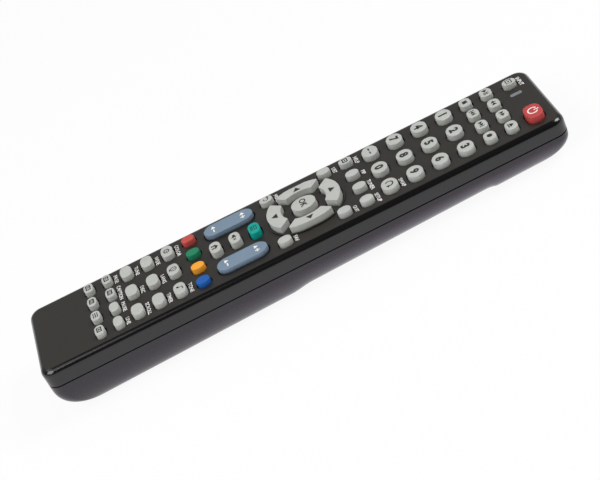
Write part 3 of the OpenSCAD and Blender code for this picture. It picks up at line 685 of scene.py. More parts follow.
# How bright the painted shade leaves the foot of a key, for the rockers and for the other keys
ROCKER_FOOT_SHADE = 0.08
KEY_FOOT_SHADE = 0.7


def key_rubber(context, colour):
    """The rubber of a key colour."""
    return rubber("rubber_" + colour, tuple(getattr(context.scene.remote_colours, colour)),
                  ROCKER_FOOT_SHADE if colour == "slate" else KEY_FOOT_SHADE)


class REMOTE_OT_plain_keys(bpy.types.Operator):
    """Builds the plain keys with rounded edges, flanges and contact posts."""

    bl_idname = "remote.plain_keys"
    bl_label = "Plain Keys"

    def execute(self, context):
        sizes = context.scene.remote_sizes
        for colour, nodes in PLAIN_KEYS.items():
            for node in nodes:
                bm = bmesh.new()
                for cap in caps_of(node, GROUPS.get(node, 1)):
                    plain_key(bm, sizes, cap, OVALS.get(node, SQUARE_OVAL))
                piece(bm, "cap_" + node, key_rubber(context, colour), node, [node])
        return {"FINISHED"}


class REMOTE_OT_rockers(bpy.types.Operator):
    """Builds the two rockers with their ribs, side tabs and contact posts."""

    bl_idname = "remote.rockers"
    bl_label = "Rockers"

    # Depths below the flat top, and sizes of the rib, its web, the tabs and the posts
    rib_depth, rib_radius = 2.6 * MM, 1.0 * MM
    web_inset, web_half, inside = 0.5 * MM, 1.3 * MM, 1.0 * MM
    tab_low, tab_high, tab_half = 3.0 * MM, 2.35 * MM, 2.0 * MM
    post_inset = 3.3 * MM

    def execute(self, context):
        sizes = context.scene.remote_sizes
        for node in ROCKERS:
            cap = caps_of(node)[0]
            half = cap.width / 2
            bm = bmesh.new()
            stack(bm, key_rings(sizes, cap, [(0.0, -sizes.flange_depth)], lambda a, b: rounded_outline(
                a, b, sizes.rocker_round * a, reach=sizes.rocker_reach)))
            middle = CASE @ Matrix.Translation((cap.x, cap.y, 0))
            rib = middle @ Matrix.Translation((0, 0, -self.rib_depth)) @ ACROSS
            rod(bm, self.rib_radius, -half, half, rib, steps=32)
            web = half - self.web_inset
            block(bm, (-web, -self.web_half, -self.rib_depth), (web, self.web_half, -self.inside), middle)
            tab = half + sizes.flange_width
            block(bm, (-tab, -self.tab_half, -self.tab_low), (tab, self.tab_half, -self.tab_high), middle)
            for side in (-1, 1):
                post = middle @ Matrix.Translation((0, side * (cap.length / 2 - self.post_inset), 0))
                rod(bm, sizes.post_radius, -sizes.post_depth, -self.inside, post, steps=40)
            piece(bm, "cap_" + node, key_rubber(context, "slate"), node, [node])
        return {"FINISHED"}


class REMOTE_OT_direction_keys(bpy.types.Operator):
    """Eases the corners and upper edges of the four direction keys."""

    bl_idname = "remote.direction_keys"
    bl_label = "Direction Keys"

    # Distance at which points are one, how near the top counts as there, and how steep as upright
    weld, near_top, steep = 0.002 * MM, 0.01 * MM, 0.999
    # Degrees between faces that count as one, and between those at a corner and at the upper edge
    flat_turn, corner_turn, rim_turn = 0.6, 25, 60

    def execute(self, context):
        sizes = context.scene.remote_sizes
        for node in ARROWS:
            bm = bmesh.new()
            bm.from_mesh(frame["nodes"][node].data)
            for layer in list(bm.loops.layers.uv):
                bm.loops.layers.uv.remove(layer)
            bmesh.ops.transform(bm, matrix=INTO_CASE, verts=bm.verts)
            bmesh.ops.remove_doubles(bm, verts=bm.verts, dist=self.weld)
            bmesh.ops.dissolve_limit(bm, angle_limit=math.radians(self.flat_turn), verts=bm.verts,
                                     edges=bm.edges)
            top = max(v.co.z for v in bm.verts) - self.near_top
            corners = [e for e in bm.edges if self.upright(e) and max(v.co.z for v in e.verts) > top]
            self.ease(bm, corners, self.corner_turn, sizes.pad_corner, 5)
            rim = [e for e in bm.edges if min(v.co.z for v in e.verts) > top]
            self.ease(bm, rim, self.rim_turn, sizes.pad_edge, 6)
            bmesh.ops.transform(bm, matrix=CASE, verts=bm.verts)
            made = piece(bm, "cap_" + node, key_rubber(context, "grey"), node, [node],
                         angle=40.0)
            even = made.modifiers.new("even_shading", "WEIGHTED_NORMAL")
            even.keep_sharp = True
        return {"FINISHED"}

    def upright(self, edge):
        """Whether an edge runs straight down."""
        run = (edge.verts[0].co - edge.verts[1].co).normalized()
        return abs(run.z) > self.steep

    @staticmethod
    def ease(bm, edges, turn, size, segments):
        """Rounds those edges at which the faces turn by more than an angle."""
        sharp = [e for e in edges if e.calc_face_angle(0.0) > math.radians(turn)]
        bmesh.ops.bevel(bm, geom=sharp, offset=size, offset_type="OFFSET", segments=segments,
                        profile=0.5, affect="EDGES", clamp_overlap=True)


# Printed legends

def plate(bm, points, place, depth):
    """A thin plate of ink with a flat outline."""
    stack(bm, [[place @ Vector((x, y, z)) for x, y in points] for z in (-depth, depth)])


def bar(x, y, w, h, turn=0.0):
    """A bar as an outline."""
    c, s = math.cos(math.radians(turn)), math.sin(math.radians(turn))
    return [(x + c * a * w / 2 - s * b * h / 2, y + s * a * w / 2 + c * b * h / 2)
            for a, b in ((-1, -1), (1, -1), (1, 1), (-1, 1))]


def triangle(x, y, w, h, turn=0.0):
    """A triangle that points right before its turn, as an outline."""
    c, s = math.cos(math.radians(turn)), math.sin(math.radians(turn))
    return [(x + c * a - s * b, y + s * a + c * b)
            for a, b in ((-h / 2, -w / 2), (h / 2, 0), (-h / 2, w / 2))]


def arc(x, y, r, t, start, end, steps=28):
    """A bent bar round a middle, as an outline."""
    turns = [math.radians(start + (end - start) * i / steps) for i in range(steps + 1)]
    return ([(x + (r + t / 2) * math.cos(a), y + (r + t / 2) * math.sin(a)) for a in turns]
            + [(x + (r - t / 2) * math.cos(a), y + (r - t / 2) * math.sin(a)) for a in reversed(turns)])


def ring(x, y, r, t):
    """A full ring as two halves."""
    return [arc(x, y, r, t, 0, 180), arc(x, y, r, t, 180, 360)]


def disc(x, y, r, steps=28):
    """A round dot as an outline."""
    return [(x + r * math.cos(2 * math.pi * i / steps), y + r * math.sin(2 * math.pi * i / steps))
            for i in range(steps)]


def box_line(x, y, w, h, t):
    """The outline of a box as four bars."""
    return [bar(x, y + (h - t) / 2, w, t), bar(x, y - (h - t) / 2, w, t),
            bar(x - (w - t) / 2, y, t, h - 2 * t), bar(x + (w - t) / 2, y, t, h - 2 * t)]


# Signs on the keys, in millimetres from the middle of each key's top
TEXT_BOX = box_line(0, 0, 2.6, 1.9, 0.42)
SIGNS = {
    "key_input": [box_line(0, 0, 2.6, 2.2, 0.3) + [triangle(0.2, 0, 1.0, 0.9)]],
    "key_power": [[arc(0, 0, 2.0, 0.55, 120, 420), bar(0, 1.5, 0.55, 2.1)]],
    "keys_play": [
        [triangle(-0.7, 0, 2.0, 1.5), bar(0.55, 0, 0.42, 2.0), bar(1.3, 0, 0.42, 2.0)],
        [triangle(-0.75, 0, 1.9, 1.3, 180), triangle(0.6, 0, 1.9, 1.3, 180)],
        [triangle(-0.6, 0, 1.9, 1.3), triangle(0.75, 0, 1.9, 1.3)],
        [triangle(0, 0.35, 2.2, 1.5, 90), bar(0, -0.85, 2.2, 0.42)],
    ],
    "keys_skip": [
        [bar(0, 0, 1.7, 1.7)],
        [bar(-1.35, 0, 0.38, 1.9), triangle(-0.5, 0, 1.9, 1.2, 180), triangle(0.75, 0, 1.9, 1.2, 180)],
        [triangle(-0.75, 0, 1.9, 1.2), triangle(0.5, 0, 1.9, 1.2), bar(1.35, 0, 0.38, 1.9)],
        [disc(0, 0, 0.95)],
    ],
    "key_dash": [[bar(-1.1, 0, 1.5, 0.5), bar(1.1, 0, 1.5, 0.5)]],
    "key_recall": [[arc(0, 0, 1.3, 0.45, -30, 240), triangle(1.15, -0.95, 1.4, 1.2, 245)]],
    "keys_info": [box_line(0, 0, 2.4, 2.0, 0.42) + [bar(0, 0, 1.1, 0.3)], [], [], []],
    "key_back": [[arc(0.2, 0, 0.8, 0.32, -120, 90), bar(-0.35, 0.8, 1.1, 0.32),
                  triangle(-1.0, 0.8, 1.1, 0.8, 180)]],
    "key_teal": [box_line(0, 0.55, 2.6, 1.1, 0.26) + [bar(0, -0.55, 2.6, 0.28), bar(0, -1.05, 2.6, 0.28)]],
    "key_mute": [[bar(-1.2, 0, 0.8, 0.9), triangle(-0.75, 0, 2.2, 1.4, 180), bar(1.05, 0, 1.5, 0.3, 45),
                  bar(1.05, 0, 1.5, 0.3, -45)]],
    "key_home": [[triangle(0, 0.65, 2.9, 1.3, 90), bar(-0.68, -0.65, 0.62, 1.2),
                  bar(0.68, -0.65, 0.62, 1.2)]],
    "key_picture": [ring(0, 0, 0.95, 0.4) + [bar(0, 0, 0.5, 0.5)]],
    "key_light": [ring(0, 0.25, 1.05, 0.34) + [bar(0, -1.2, 1.3, 0.32), bar(0, 0.25, 0.3, 1.2)]],
    "key_sound": [[disc(-0.75, -0.55, 0.48), bar(-0.4, 0.35, 0.26, 1.8), bar(0.2, 1.12, 1.4, 0.34)]],
    "keys_text_front": [TEXT_BOX + [bar(0, 0, 1.4, 0.26)],
                        TEXT_BOX + [bar(-0.4, 0, 0.26, 1.1), bar(0.4, 0, 0.26, 1.1)], [], []],
    "keys_text_back": [TEXT_BOX + [triangle(0, 0, 1.0, 0.9)],
                       TEXT_BOX + [bar(0, 0.25, 1.4, 0.24), bar(0, -0.25, 1.4, 0.24)],
                       [bar(0, 0.75, 2.6, 0.34), bar(0, 0, 2.6, 0.34), bar(0, -0.75, 2.6, 0.34)],
                       TEXT_BOX + [disc(0, 0, 0.42)]],
}
WHITE_SIGNS = {"key_power"}
DARK_SIGN_SCALE = 1.2
# How much bolder than its font each kind of lettering is
DIGIT_WEIGHT, ENTER_WEIGHT, WORD_WEIGHT = 0.048, 0.03, 0.02
ENTER_HEIGHT = 2.9 * MM
# Gap from a key to the middle of its word, and millimetres from a rocker's end to its sign
WORD_GAP, ROCKER_SIGN_INSET = 1.55 * MM, 4.6
# Millimetres from the middle of the pad to its arrows, across and along the case, and their two sizes
ARROW_ACROSS, ARROW_ALONG = 11.4, 13.2
ACROSS_SIZE, ALONG_SIZE = (3.5, 2.4), (3.4, 2.7)

# Words on the case, in front of a key of each node
WORDS = {
    "key_input": ["INPUT"], "key_recall": ["SWAP"], "keys_info": ["HELP", "PIP", "TUNER", "SETUP"],
    "key_menu": ["LIST"], "key_exit": ["QUIT"], "key_back": ["HOLD"], "key_guide": ["FAV"],
    "key_picture": ["COLOR"], "key_sound": ["TONE"], "key_zoom": ["WIDE"], "key_track": ["LANG"],
    "key_timer": ["TIMER"], "key_auto": ["TUNE"], "key_media": ["DISC"], "key_page": ["SCROLL"],
    "keys_text_front": ["PAGE", "CAPTION", "PAUSE", "LINE"],
}


def ink(context, colour):
    """Printing ink."""
    return finish("ink_" + colour, tuple(getattr(context.scene.remote_colours, colour)), 0.5, 0.62,
                  grain=7000.0, depth=0.002, shade=0.9, drift=400.0, speck=0.1)


def lettering(bm, text, height, place, depth, weight):
    """Raised lettering of a capital height, centred on a place."""
    curve = bpy.data.curves.new("lettering", "FONT")
    curve.body = text
    curve.offset = weight
    curve.resolution_u = 4
    made = bpy.data.objects.new("lettering", curve)
    bpy.context.scene.collection.objects.link(made)
    bpy.context.view_layer.update()
    mesh = bpy.data.meshes.new_from_object(made.evaluated_get(bpy.context.evaluated_depsgraph_get()))
    points = [v.co.copy() for v in mesh.vertices]
    low = Vector((min(p.x for p in points), min(p.y for p in points), 0))
    high = Vector((max(p.x for p in points), max(p.y for p in points), 0))
    scale = height / (high.y - low.y)
    middle = (low + high) / 2
    verts = [bm.verts.new(place @ (Vector((p.x - middle.x, p.y - middle.y, 0)) * scale
                                   + Vector((0, 0, -depth)))) for p in points]
    faces = [bm.faces.new([verts[i] for i in polygon.vertices]) for polygon in mesh.polygons]
    raised = bmesh.ops.extrude_face_region(bm, geom=faces)
    rise = place.to_3x3() @ Vector((0, 0, 2 * depth))
    bmesh.ops.translate(bm, vec=rise, verts=[v for v in raised["geom"] if isinstance(v, bmesh.types.BMVert)])
    bpy.data.objects.remove(made)
    bpy.data.curves.remove(curve)
    bpy.data.meshes.remove(mesh)


class REMOTE_OT_key_legends(bpy.types.Operator):
    """Prints digits, arrows and plain signs on the keys."""

    bl_idname = "remote.key_legends"
    bl_label = "Key Legends"

    def execute(self, context):
        sizes = context.scene.remote_sizes
        depth = sizes.ink / 2

        def top_of(cap):
            return CASE @ Matrix.Translation((cap.x, cap.y, cap.height))

        def print_signs(node, caps, drawings, colour, scale=1.0):
            bm = bmesh.new()
            for cap, outlines in zip(caps, drawings):
                for outline in outlines:
                    plate(bm, [(x * scale * MM, y * scale * MM) for x, y in outline], top_of(cap), depth)
            piece(bm, "print_" + node, ink(context, colour), node)

        for node, drawings in SIGNS.items():
            print_signs(node, caps_of(node, GROUPS.get(node, 1)), drawings,
                        "white_ink" if node in WHITE_SIGNS else "dark_ink",
                        1.0 if node in WHITE_SIGNS else DARK_SIGN_SCALE)
        for node in ROCKERS:
            cap = caps_of(node)[0]
            reach = (cap.length / 2) / MM - ROCKER_SIGN_INSET
            wedge = triangle(-1.2, 0, 2.2, 1.8, 180 if node == "rocker_left" else 90)
            marks = []
            for side in (1, -1):
                marks.append([(x, y + side * reach) for x, y in wedge])
                marks.append(bar(1.3, side * reach, 2.0, 0.55))
            marks.append(bar(1.3, reach, 0.55, 2.0))
            print_signs(node, [cap], [marks], "white_ink")
        for node, turn in ARROWS.items():
            cap = caps_of(node)[0]
            print_signs(node, [cap], [[self.arrow(cap, turn)]], "dark_ink")
        letters = {node: (node[4:], sizes.digit_height, DIGIT_WEIGHT)
                   for node in DIGIT_KEYS if node[4:].isdigit()}
        letters["key_enter"] = ("OK", ENTER_HEIGHT, ENTER_WEIGHT)
        for node, (text, height, weight) in letters.items():
            bm = bmesh.new()
            lettering(bm, text, height, top_of(caps_of(node)[0]), depth, weight)
            piece(bm, "print_" + node, ink(context, "dark_ink"), node)
        return {"FINISHED"}

    @staticmethod
    def arrow(cap, turn):
        """A direction key's arrow on the middle of the pad's ring, from the middle of the key's box."""
        middle = caps_of("key_enter")[0]
        c, s = round(math.cos(math.radians(turn))), round(math.sin(math.radians(turn)))
        return triangle((middle.x - cap.x) / MM + ARROW_ACROSS * c, (middle.y - cap.y) / MM + ARROW_ALONG * s,
                        *(ACROSS_SIZE if c else ALONG_SIZE), turn)


class REMOTE_OT_case_words(bpy.types.Operator):
    """Prints small plain words on the flat top in front of keys."""

    bl_idname = "remote.case_words"
    bl_label = "Case Words"

    def execute(self, context):
        sizes = context.scene.remote_sizes
        bm = bmesh.new()
        for node, words in WORDS.items():
            for cap, word in zip(caps_of(node, GROUPS.get(node, 1)), words):
                place = CASE @ Matrix.Translation((cap.x, cap.y + cap.length / 2 + WORD_GAP, 0))
                lettering(bm, word, sizes.word_height, place, sizes.ink / 2, WORD_WEIGHT)
        piece(bm, "print_case", ink(context, "white_ink"), "case")
        return {"FINISHED"}


# Case

class REMOTE_OT_upper_case(bpy.types.Operator):
    """Gives the upper case its satin top and glossy edge."""

    bl_idname = "remote.upper_case"
    bl_label = "Upper Case"

    def execute(self, context):
        colours = context.scene.remote_colours
        dress("top_case", case_finish("satin_charcoal_plastic", tuple(colours.top), tuple(colours.edge)))
        return {"FINISHED"}


def case_span():
    """Half the width and half the length of the case."""
    points = [INTO_CASE @ v.co for v in frame["nodes"]["top_case"].data.vertices]
    return max(p.x for p in points), max(p.y for p in points)


def seam_depth(sizes, y):
    """Depth of the parting line below the flat top."""
    return sizes.seam - y * math.tan(sizes.seam_tilt)


def recess_lift(sizes, y):
    """How far the finger recess lifts the underside."""
    share = min((y - sizes.recess_back) / sizes.back_ramp, (sizes.recess_front - y) / sizes.front_ramp)
    share = max(0.0, min(1.0, share))
    return sizes.recess * share * share * (3 - 2 * share)


def shell_ring(sizes, span, turn, share, inset, base):
    """One ring of points round the lower shell in the case's frame, from the front right corner."""
    tuck = 1 - math.cos(turn)
    hw = span[0] - inset - sizes.side_round * tuck
    front = span[1] - inset - sizes.front_round * tuck
    back = -span[1] + inset + sizes.back_round * tuck
    r = sizes.corner - inset + (sizes.sole_corner - sizes.corner) * tuck
    corners = []
    for q in range(4):
        x = (hw - r) if q in (0, 3) else (r - hw)
        y = (front - r) if q < 2 else (back + r)
        turns = [math.pi / 2 * (q + s / sizes.corner_steps) for s in range(sizes.corner_steps + 1)]
        corners.append([Vector((x + r * math.cos(a), y + r * math.sin(a), 0)) for a in turns])
    points = []
    for q in range(4):
        points += corners[q]
        start, end = corners[q][-1], corners[(q + 1) % 4][0]
        parts = sizes.end_steps if q % 2 == 0 else sizes.side_steps
        points += [start.lerp(end, i / parts) for i in range(1, parts)]
    for p in points:
        seam = seam_depth(sizes, p.y)
        sole = sizes.depth - p.y * math.tan(sizes.wedge) - base - recess_lift(sizes, p.y)
        p.z = -seam - (sole - seam) * share
    return points


def shell_form(bm, sizes, inset, base, drop):
    """The lower shell's outer form, or with an inset its hollow, from a drop below the parting line."""
    span = case_span()
    rings = [[p - Vector((0, 0, drop)) for p in shell_ring(sizes, span, 0.0, 0.0, inset, base)]]
    for i in range(sizes.curve_steps + 1):
        turn = math.pi / 2 * i / sizes.curve_steps
        share = sizes.upright + (1 - sizes.upright) * math.sin(turn)
        rings.append(shell_ring(sizes, span, turn, share, inset, base))
    loops = [[bm.verts.new(CASE @ p) for p in ring] for ring in rings]
    count = len(loops[0])
    for high, low in zip(loops, loops[1:]):
        for i in range(count):
            j = (i + 1) % count
            bm.faces.new((high[i], low[i], low[j], high[j]))
    bm.faces.new(loops[0])
    sole = loops[-1]
    end = 2 * (sizes.corner_steps + 1) + sizes.end_steps - 1
    bm.faces.new(sole[:end][::-1])
    left = sole[end - 1:end + sizes.side_steps]
    bm.faces.new(sole[end - 1 + sizes.side_steps:2 * end - 1 + sizes.side_steps][::-1])
    right = ([sole[0]] + sole[::-1])[:sizes.side_steps + 1]
    for i in range(sizes.side_steps):
        bm.faces.new((left[i + 1], left[i], right[i], right[i + 1]))


def lip_form(bm, sizes):
    """The ring that steps up inside the upper shell's wall."""
    half_w, half_l = case_span()
    outer = sizes.wall + sizes.fit
    inner = outer + sizes.lip_width
    middle = sizes.wall / 2

    def loop(inset, depth):
        plan = rounded_outline(2 * (half_w - inset), 2 * (half_l - inset), sizes.corner - inset, steps=16)
        return [bm.verts.new(CASE @ Vector((x, y, -depth(y)))) for x, y in plan]

    def foot(y):
        return sizes.seam + sizes.lip_drop

    def step(y):
        return seam_depth(sizes, y) + sizes.seam_gap + sizes.fit

    def crown(y):
        return sizes.lip_top

    loops = [loop(inner, foot), loop(middle, foot), loop(middle, step), loop(outer, step),
             loop(outer, crown), loop(inner, crown)]
    for low, high in zip(loops, loops[1:] + loops[:1]):
        join_loops(bm, low, high)


class REMOTE_OT_lower_case(bpy.types.Operator):
    """Builds the lower shell with smooth curves, its lip, battery bay, finger recess and screw holes."""

    bl_idname = "remote.lower_case"
    bl_label = "Lower Case"

    # Depths of the screw posts' joint and shoulder, the reach of post and bore, and the hinge pins' play
    joint_drop, shoulder_drop = 1.5 * MM, 2.8 * MM
    post_foot, below, screw_bore = 24.5 * MM, 30.0 * MM, 1.35 * MM
    pin_play = 0.06 * MM
    # How far a cutting form reaches past what it cuts
    over = 1 * MM

    def execute(self, context):
        sizes = context.scene.shell_sizes
        bm = bmesh.new()
        shell_form(bm, sizes, 0.0, 0.0, sizes.seam_gap)
        bmesh.ops.recalc_face_normals(bm, faces=bm.faces)
        shell = to_object(bm, "lower_shell")
        carve(shell, lambda b: shell_form(b, sizes, sizes.wall, sizes.floor, -self.over))
        carve(shell, lambda b: lip_form(b, sizes), "UNION")
        self.battery_bay(shell, sizes)
        self.door_opening(shell, sizes)
        self.screw_posts(shell, sizes)
        bm = reopened(shell)
        bmesh.ops.remove_doubles(bm, verts=bm.verts, dist=0.001 * MM)
        piece(bm, "lower_case", shell_finish(context), "case", ["bottom_case"], angle=18.0)
        return {"FINISHED"}

    def battery_bay(self, shell, sizes):
        """A walled bay round the cells and their springs."""
        fit, wall, row = sizes.fit, sizes.bay_wall, Matrix.Identity(4)
        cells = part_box("battery_cells")
        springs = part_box("battery_springs")
        low = (cells[0].x - fit, springs[0].y - fit / 3)
        high = (cells[1].x + fit, springs[1].y + fit / 3)
        top = cells[1].z + fit
        carve(shell, lambda b: block(b, (low[0] - wall, low[1] - wall, sizes.floor / 2),
                                     (high[0] + wall, high[1] + wall, top + wall), row), "UNION")
        carve(shell, lambda b: block(b, (*low, -self.over), (*high, top), row))

    def door_opening(self, shell, sizes):
        """The opening for the battery door, with its fingernail notch and the holes for its pins."""
        fit, gap = sizes.fit, sizes.door_gap
        low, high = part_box("battery_door")
        thick = high.z
        half = high.x - sizes.pin_length + gap
        carve(shell, lambda b: block(b, (-half, low.y - gap, -self.over), (half, high.y + gap, thick + fit),
                                     Matrix.Identity(4)))
        notch = Matrix.Translation((0, high.y + gap, 0))
        carve(shell, lambda b: rod(b, sizes.notch, -self.over, thick / 2, notch))
        pin = Matrix.Translation((0, low.y + thick / 2, thick / 2)) @ ACROSS
        pin_radius = thick / 4 + self.pin_play
        carve(shell, lambda b: rod(b, pin_radius, low.x - fit, high.x + fit, pin, steps=32))

    def screw_posts(self, shell, sizes):
        """A post with a stepped bore for each case screw."""
        screws = [INTO_CASE @ v.co for v in frame["nodes"]["case_screws"].data.vertices]
        right = [p.x for p in screws if p.x > 0]
        head = (max(right) - min(right)) / 2
        x = (max(right) + min(right)) / 2
        y = (min(p.y for p in screws) + max(p.y for p in screws)) / 2
        joint = sizes.seam + self.joint_drop
        shoulder = joint + self.shoulder_drop
        for side in (-1, 1):
            axis = CASE @ Matrix.Translation((side * x, y, 0))
            carve(shell, lambda b: rod(b, head + sizes.post_wall, -self.post_foot, -joint - sizes.fit, axis),
                  "UNION")
            carve(shell, lambda b: rod(b, head + sizes.fit, -self.below, -shoulder, axis))
            carve(shell, lambda b: rod(b, self.screw_bore, -shoulder - self.over, -joint + self.over, axis,
                                       steps=48))


class REMOTE_OT_battery_door(bpy.types.Operator):
    """Gives the battery door its grip grooves."""

    bl_idname = "remote.battery_door"
    bl_label = "Battery Door"

    # Millimetres from the door's front edge to the first groove, between grooves, and along them
    first, pitch, half_length, taper = 6, 2.2, 9, 0.9
    radius, lift = 0.65 * MM, 0.15 * MM

    def execute(self, context):
        sizes = context.scene.shell_sizes
        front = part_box("battery_door")[1].y
        bm = bmesh.new()
        bm.from_mesh(frame["nodes"]["battery_door"].data)
        bmesh.ops.remove_doubles(bm, verts=bm.verts, dist=0.002 * MM)
        door = to_object(bm, "door_form")
        for i in range(sizes.grooves):
            y = front - (self.first + self.pitch * i) * MM
            half = (self.half_length - abs(i - sizes.grooves // 2) * self.taper) * MM
            groove = Matrix.Translation((0, y, -self.lift)) @ ACROSS
            carve(door, lambda b: rod(b, self.radius, -half, half, groove, steps=24))
        piece(reopened(door), "door_panel", shell_finish(context), "door", ["battery_door"],
              angle=30.0)
        return {"FINISHED"}


class REMOTE_OT_inner_parts(bpy.types.Operator):
    """Gives the pieces inside the case, the window, the screws and the cells their finishes."""

    bl_idname = "remote.inner_parts"
    bl_label = "Inner Parts"

    def execute(self, context):
        colours = context.scene.remote_colours
        finishes = {
            "keypad_sheet": finish("sheet_rubber", tuple(colours.sheet), 0.55, 0.7),
            "circuit_board": finish("solder_mask", (0.02, 0.11, 0.045), 0.3, 0.42, grain=900.0, depth=0.02,
                                    shade=0.6, drift=260.0),
            "control_chip": finish("moulded_epoxy", (0.018, 0.018, 0.019), 0.5, 0.65, grain=2600.0,
                                   depth=0.01),
            "emitter": finish("smoked_resin", (0.012, 0.006, 0.016), 0.06, 0.12, grain=900.0, depth=0.001,
                              Coat_Weight=0.4),
            "indicator_lens": finish("window_resin", tuple(colours.lens), 0.2, 0.32, grain=2500.0,
                                     depth=0.002, shade=0.9),
            "indicator_light": finish("light_body", (0.7, 0.7, 0.62), 0.3, 0.45),
            "battery_springs": finish("nickel_spring", NICKEL, 0.24, 0.4, grain=3000.0, Metallic=1.0),
            "battery_contacts": finish("nickel_plate", NICKEL, 0.28, 0.42, grain=2400.0, Metallic=1.0),
            "case_screws": finish("zinc_steel", (0.5, 0.5, 0.49), 0.3, 0.46, grain=2800.0, Metallic=1.0),
            "battery_cells": cell_finish("cell_sleeve", tuple(colours.sleeve), tuple(colours.band)),
        }
        for node, material in finishes.items():
            dress(node, material)
        return {"FINISHED"}


# Stage

FLOOR_RADIUS = 6.0
FLOOR_DROP = 0.05 * MM
# Share of plain white that the camera sees in the floor, over the light and shadow on it
FLOOR_GLOW = 0.92
LAMP_AIM = Vector((0, 0, 0.02))


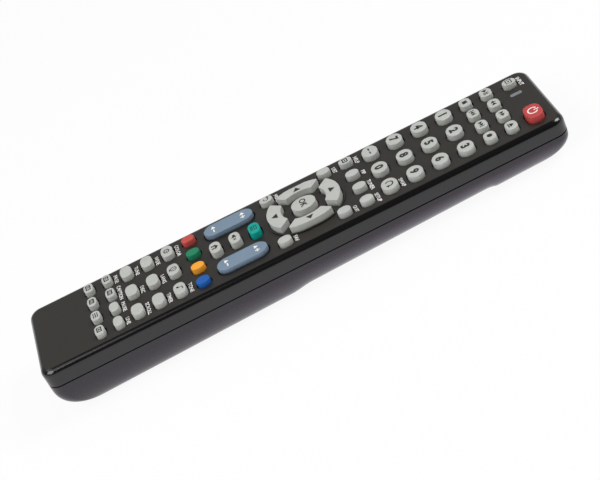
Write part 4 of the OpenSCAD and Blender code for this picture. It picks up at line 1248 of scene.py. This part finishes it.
class REMOTE_OT_stage(bpy.types.Operator):
    """Sets up the camera, the floor, the lamps and the sky light."""

    bl_idname = "remote.stage"
    bl_label = "Stage"

    def execute(self, context):
        scene = context.scene
        settings = scene.stage_settings
        scene.view_settings.view_transform = "Standard"
        self.camera(scene, settings)
        self.floor(settings)
        self.sky(scene)
        self.lamps(scene, settings)
        return {"FINISHED"}

    @staticmethod
    def lamps(scene, settings):
        """Softboxes and small lamps that face the middle of the remote."""
        for name, place, size, power in (
                ("left_softbox", (0.56, -0.72, 0.78), (0.8, 0.8), settings.left_power),
                ("right_softbox", (0.06, 0.85, 0.85), (0.5, 0.5), settings.right_power),
                ("front_lamp", (0.06, 1.05, 0.5), (0.14, 0.14), settings.front_power),
                ("overhead_softbox", (0.15, -0.4, 0.85), (1.0, 0.35), settings.overhead_power)):
            lamp = bpy.data.lights.new(name, "AREA")
            lamp.shape = "RECTANGLE"
            lamp.size, lamp.size_y = size
            lamp.energy = power
            made = bpy.data.objects.new(name, lamp)
            made.location = place
            made.rotation_mode = "QUATERNION"
            made.rotation_quaternion = (LAMP_AIM - Vector(place)).to_track_quat("-Z", "Y")
            scene.collection.objects.link(made)

    @staticmethod
    def camera(scene, settings):
        """The camera on the near side, turned about its own axis."""
        data = bpy.data.cameras.new("camera")
        data.sensor_width = 36.0
        data.lens = settings.camera_lens
        data.clip_start = 0.01
        made = bpy.data.objects.new("camera", data)
        place = Vector(settings.camera_place)
        look = (Vector(settings.camera_aim) - place).to_track_quat("-Z", "Y").to_matrix()
        turn = look @ Matrix.Rotation(settings.camera_roll, 3, "Z")
        made.matrix_world = Matrix.Translation(place) @ turn.to_4x4()
        scene.collection.objects.link(made)
        scene.camera = made

    @staticmethod
    def floor(settings):
        """A wide pale floor that keeps the shadow and is clear from below."""
        bm = bmesh.new()
        bmesh.ops.create_circle(bm, cap_ends=True, segments=128, radius=FLOOR_RADIUS)
        made = to_object(bm, "floor")
        made.location.z = -FLOOR_DROP
        material = bpy.data.materials.new("pale_floor")
        material.use_nodes = True
        tree = material.node_tree
        surface = tree.nodes["Principled BSDF"]
        surface.inputs["Base Color"].default_value = (*settings.floor, 1.0)
        surface.inputs["Roughness"].default_value = 0.9
        surface.inputs["Specular IOR Level"].default_value = 0.1
        glow = add(tree, "ShaderNodeEmission", {"Color": (1.0, 1.0, 1.0, 1.0), "Strength": 1.0})
        seen = add(tree, "ShaderNodeLightPath")
        share = maths(tree, "MULTIPLY", {1: FLOOR_GLOW})
        either = maths(tree, "MAXIMUM")
        any_of = maths(tree, "MAXIMUM")
        blend = add(tree, "ShaderNodeMixShader")
        face = add(tree, "ShaderNodeNewGeometry")
        clear = add(tree, "ShaderNodeBsdfTransparent")
        sides = add(tree, "ShaderNodeMixShader")
        wire(tree, (seen, "Is Camera Ray", share, 0), (share, "Value", either, 0),
             (seen, "Is Glossy Ray", either, 1), (either, "Value", any_of, 0),
             (seen, "Is Transmission Ray", any_of, 1), (any_of, "Value", blend, "Fac"),
             (surface, "BSDF", blend, 1), (glow, "Emission", blend, 2), (face, "Backfacing", sides, "Fac"),
             (blend, "Shader", sides, 1), (clear, "BSDF", sides, 2),
             (sides, "Shader", tree.nodes["Material Output"], "Surface"))
        made.data.materials.append(material)

    @staticmethod
    def sky(scene):
        """Studio surroundings: white along the horizon, a pale wall on the far side, dim overhead."""
        world = bpy.data.worlds.new("studio")
        world.use_nodes = True
        scene.world = world
        tree = world.node_tree
        back = tree.nodes["Background"]
        back.inputs["Color"].default_value = (1.0, 1.0, 1.0, 1.0)
        place = add(tree, "ShaderNodeTexCoord")
        parts = add(tree, "ShaderNodeSeparateXYZ")
        far = ramp(tree, 0.0, -0.3)
        low = ramp(tree, 0.97, 0.85)
        rise = ramp(tree, 0.62, 0.78, 0.31, 0.6)
        wall = maths(tree, "MULTIPLY")
        both = maths(tree, "MULTIPLY_ADD", {2: 0.06})
        band = ramp(tree, 0.14, 0.04)
        brighter = maths(tree, "MAXIMUM")
        wire(tree, (place, "Generated", parts, "Vector"), (parts, "X", far, "Value"),
             (parts, "Z", low, "Value"), (parts, "Z", rise, "Value"), (parts, "Z", band, "Value"),
             (low, "Result", wall, 0), (rise, "Result", wall, 1), (far, "Result", both, 0),
             (wall, "Value", both, 1), (both, "Value", brighter, 0), (band, "Result", brighter, 1),
             (brighter, "Value", back, "Strength"))


class REMOTE_PT_panel(bpy.types.Panel):
    """Lists the steps that dress the remote."""

    bl_idname = "REMOTE_PT_panel"
    bl_label = "Remote Control"
    bl_space_type = "VIEW_3D"
    bl_region_type = "UI"
    bl_category = "Remote"

    def draw(self, context):
        layout = self.layout
        for step in STEPS:
            layout.operator(step.bl_idname)
        for group in GROUP_CLASSES:
            settings = getattr(context.scene, group)
            column = layout.column()
            for key in settings.__annotations__:
                column.prop(settings, key)


STEPS = (REMOTE_OT_stage, REMOTE_OT_upper_case, REMOTE_OT_lower_case, REMOTE_OT_battery_door,
         REMOTE_OT_inner_parts, REMOTE_OT_plain_keys, REMOTE_OT_rockers, REMOTE_OT_direction_keys,
         REMOTE_OT_key_legends, REMOTE_OT_case_words)
GROUP_CLASSES = {"remote_sizes": RemoteSizes, "shell_sizes": ShellSizes,
                 "remote_colours": RemoteColours, "stage_settings": StageSettings}


def register():
    """Registers the settings, the steps and the panel."""
    for name, group in GROUP_CLASSES.items():
        bpy.utils.register_class(group)
        setattr(bpy.types.Scene, name, PointerProperty(type=group))
    for step in STEPS:
        bpy.utils.register_class(step)
    bpy.utils.register_class(REMOTE_PT_panel)


def unregister():
    """Takes the panel, the steps and the settings out again."""
    bpy.utils.unregister_class(REMOTE_PT_panel)
    for step in reversed(STEPS):
        bpy.utils.unregister_class(step)
    for name, group in reversed(GROUP_CLASSES.items()):
        delattr(bpy.types.Scene, name)
        bpy.utils.unregister_class(group)


def main():
    register()
    bpy.ops.remote.stage()
    bpy.ops.remote.upper_case()
    bpy.ops.remote.lower_case()
    bpy.ops.remote.battery_door()
    bpy.ops.remote.inner_parts()
    bpy.ops.remote.plain_keys()
    bpy.ops.remote.rockers()
    bpy.ops.remote.direction_keys()
    bpy.ops.remote.key_legends()
    bpy.ops.remote.case_words()


if __name__ == "__main__":
    main()
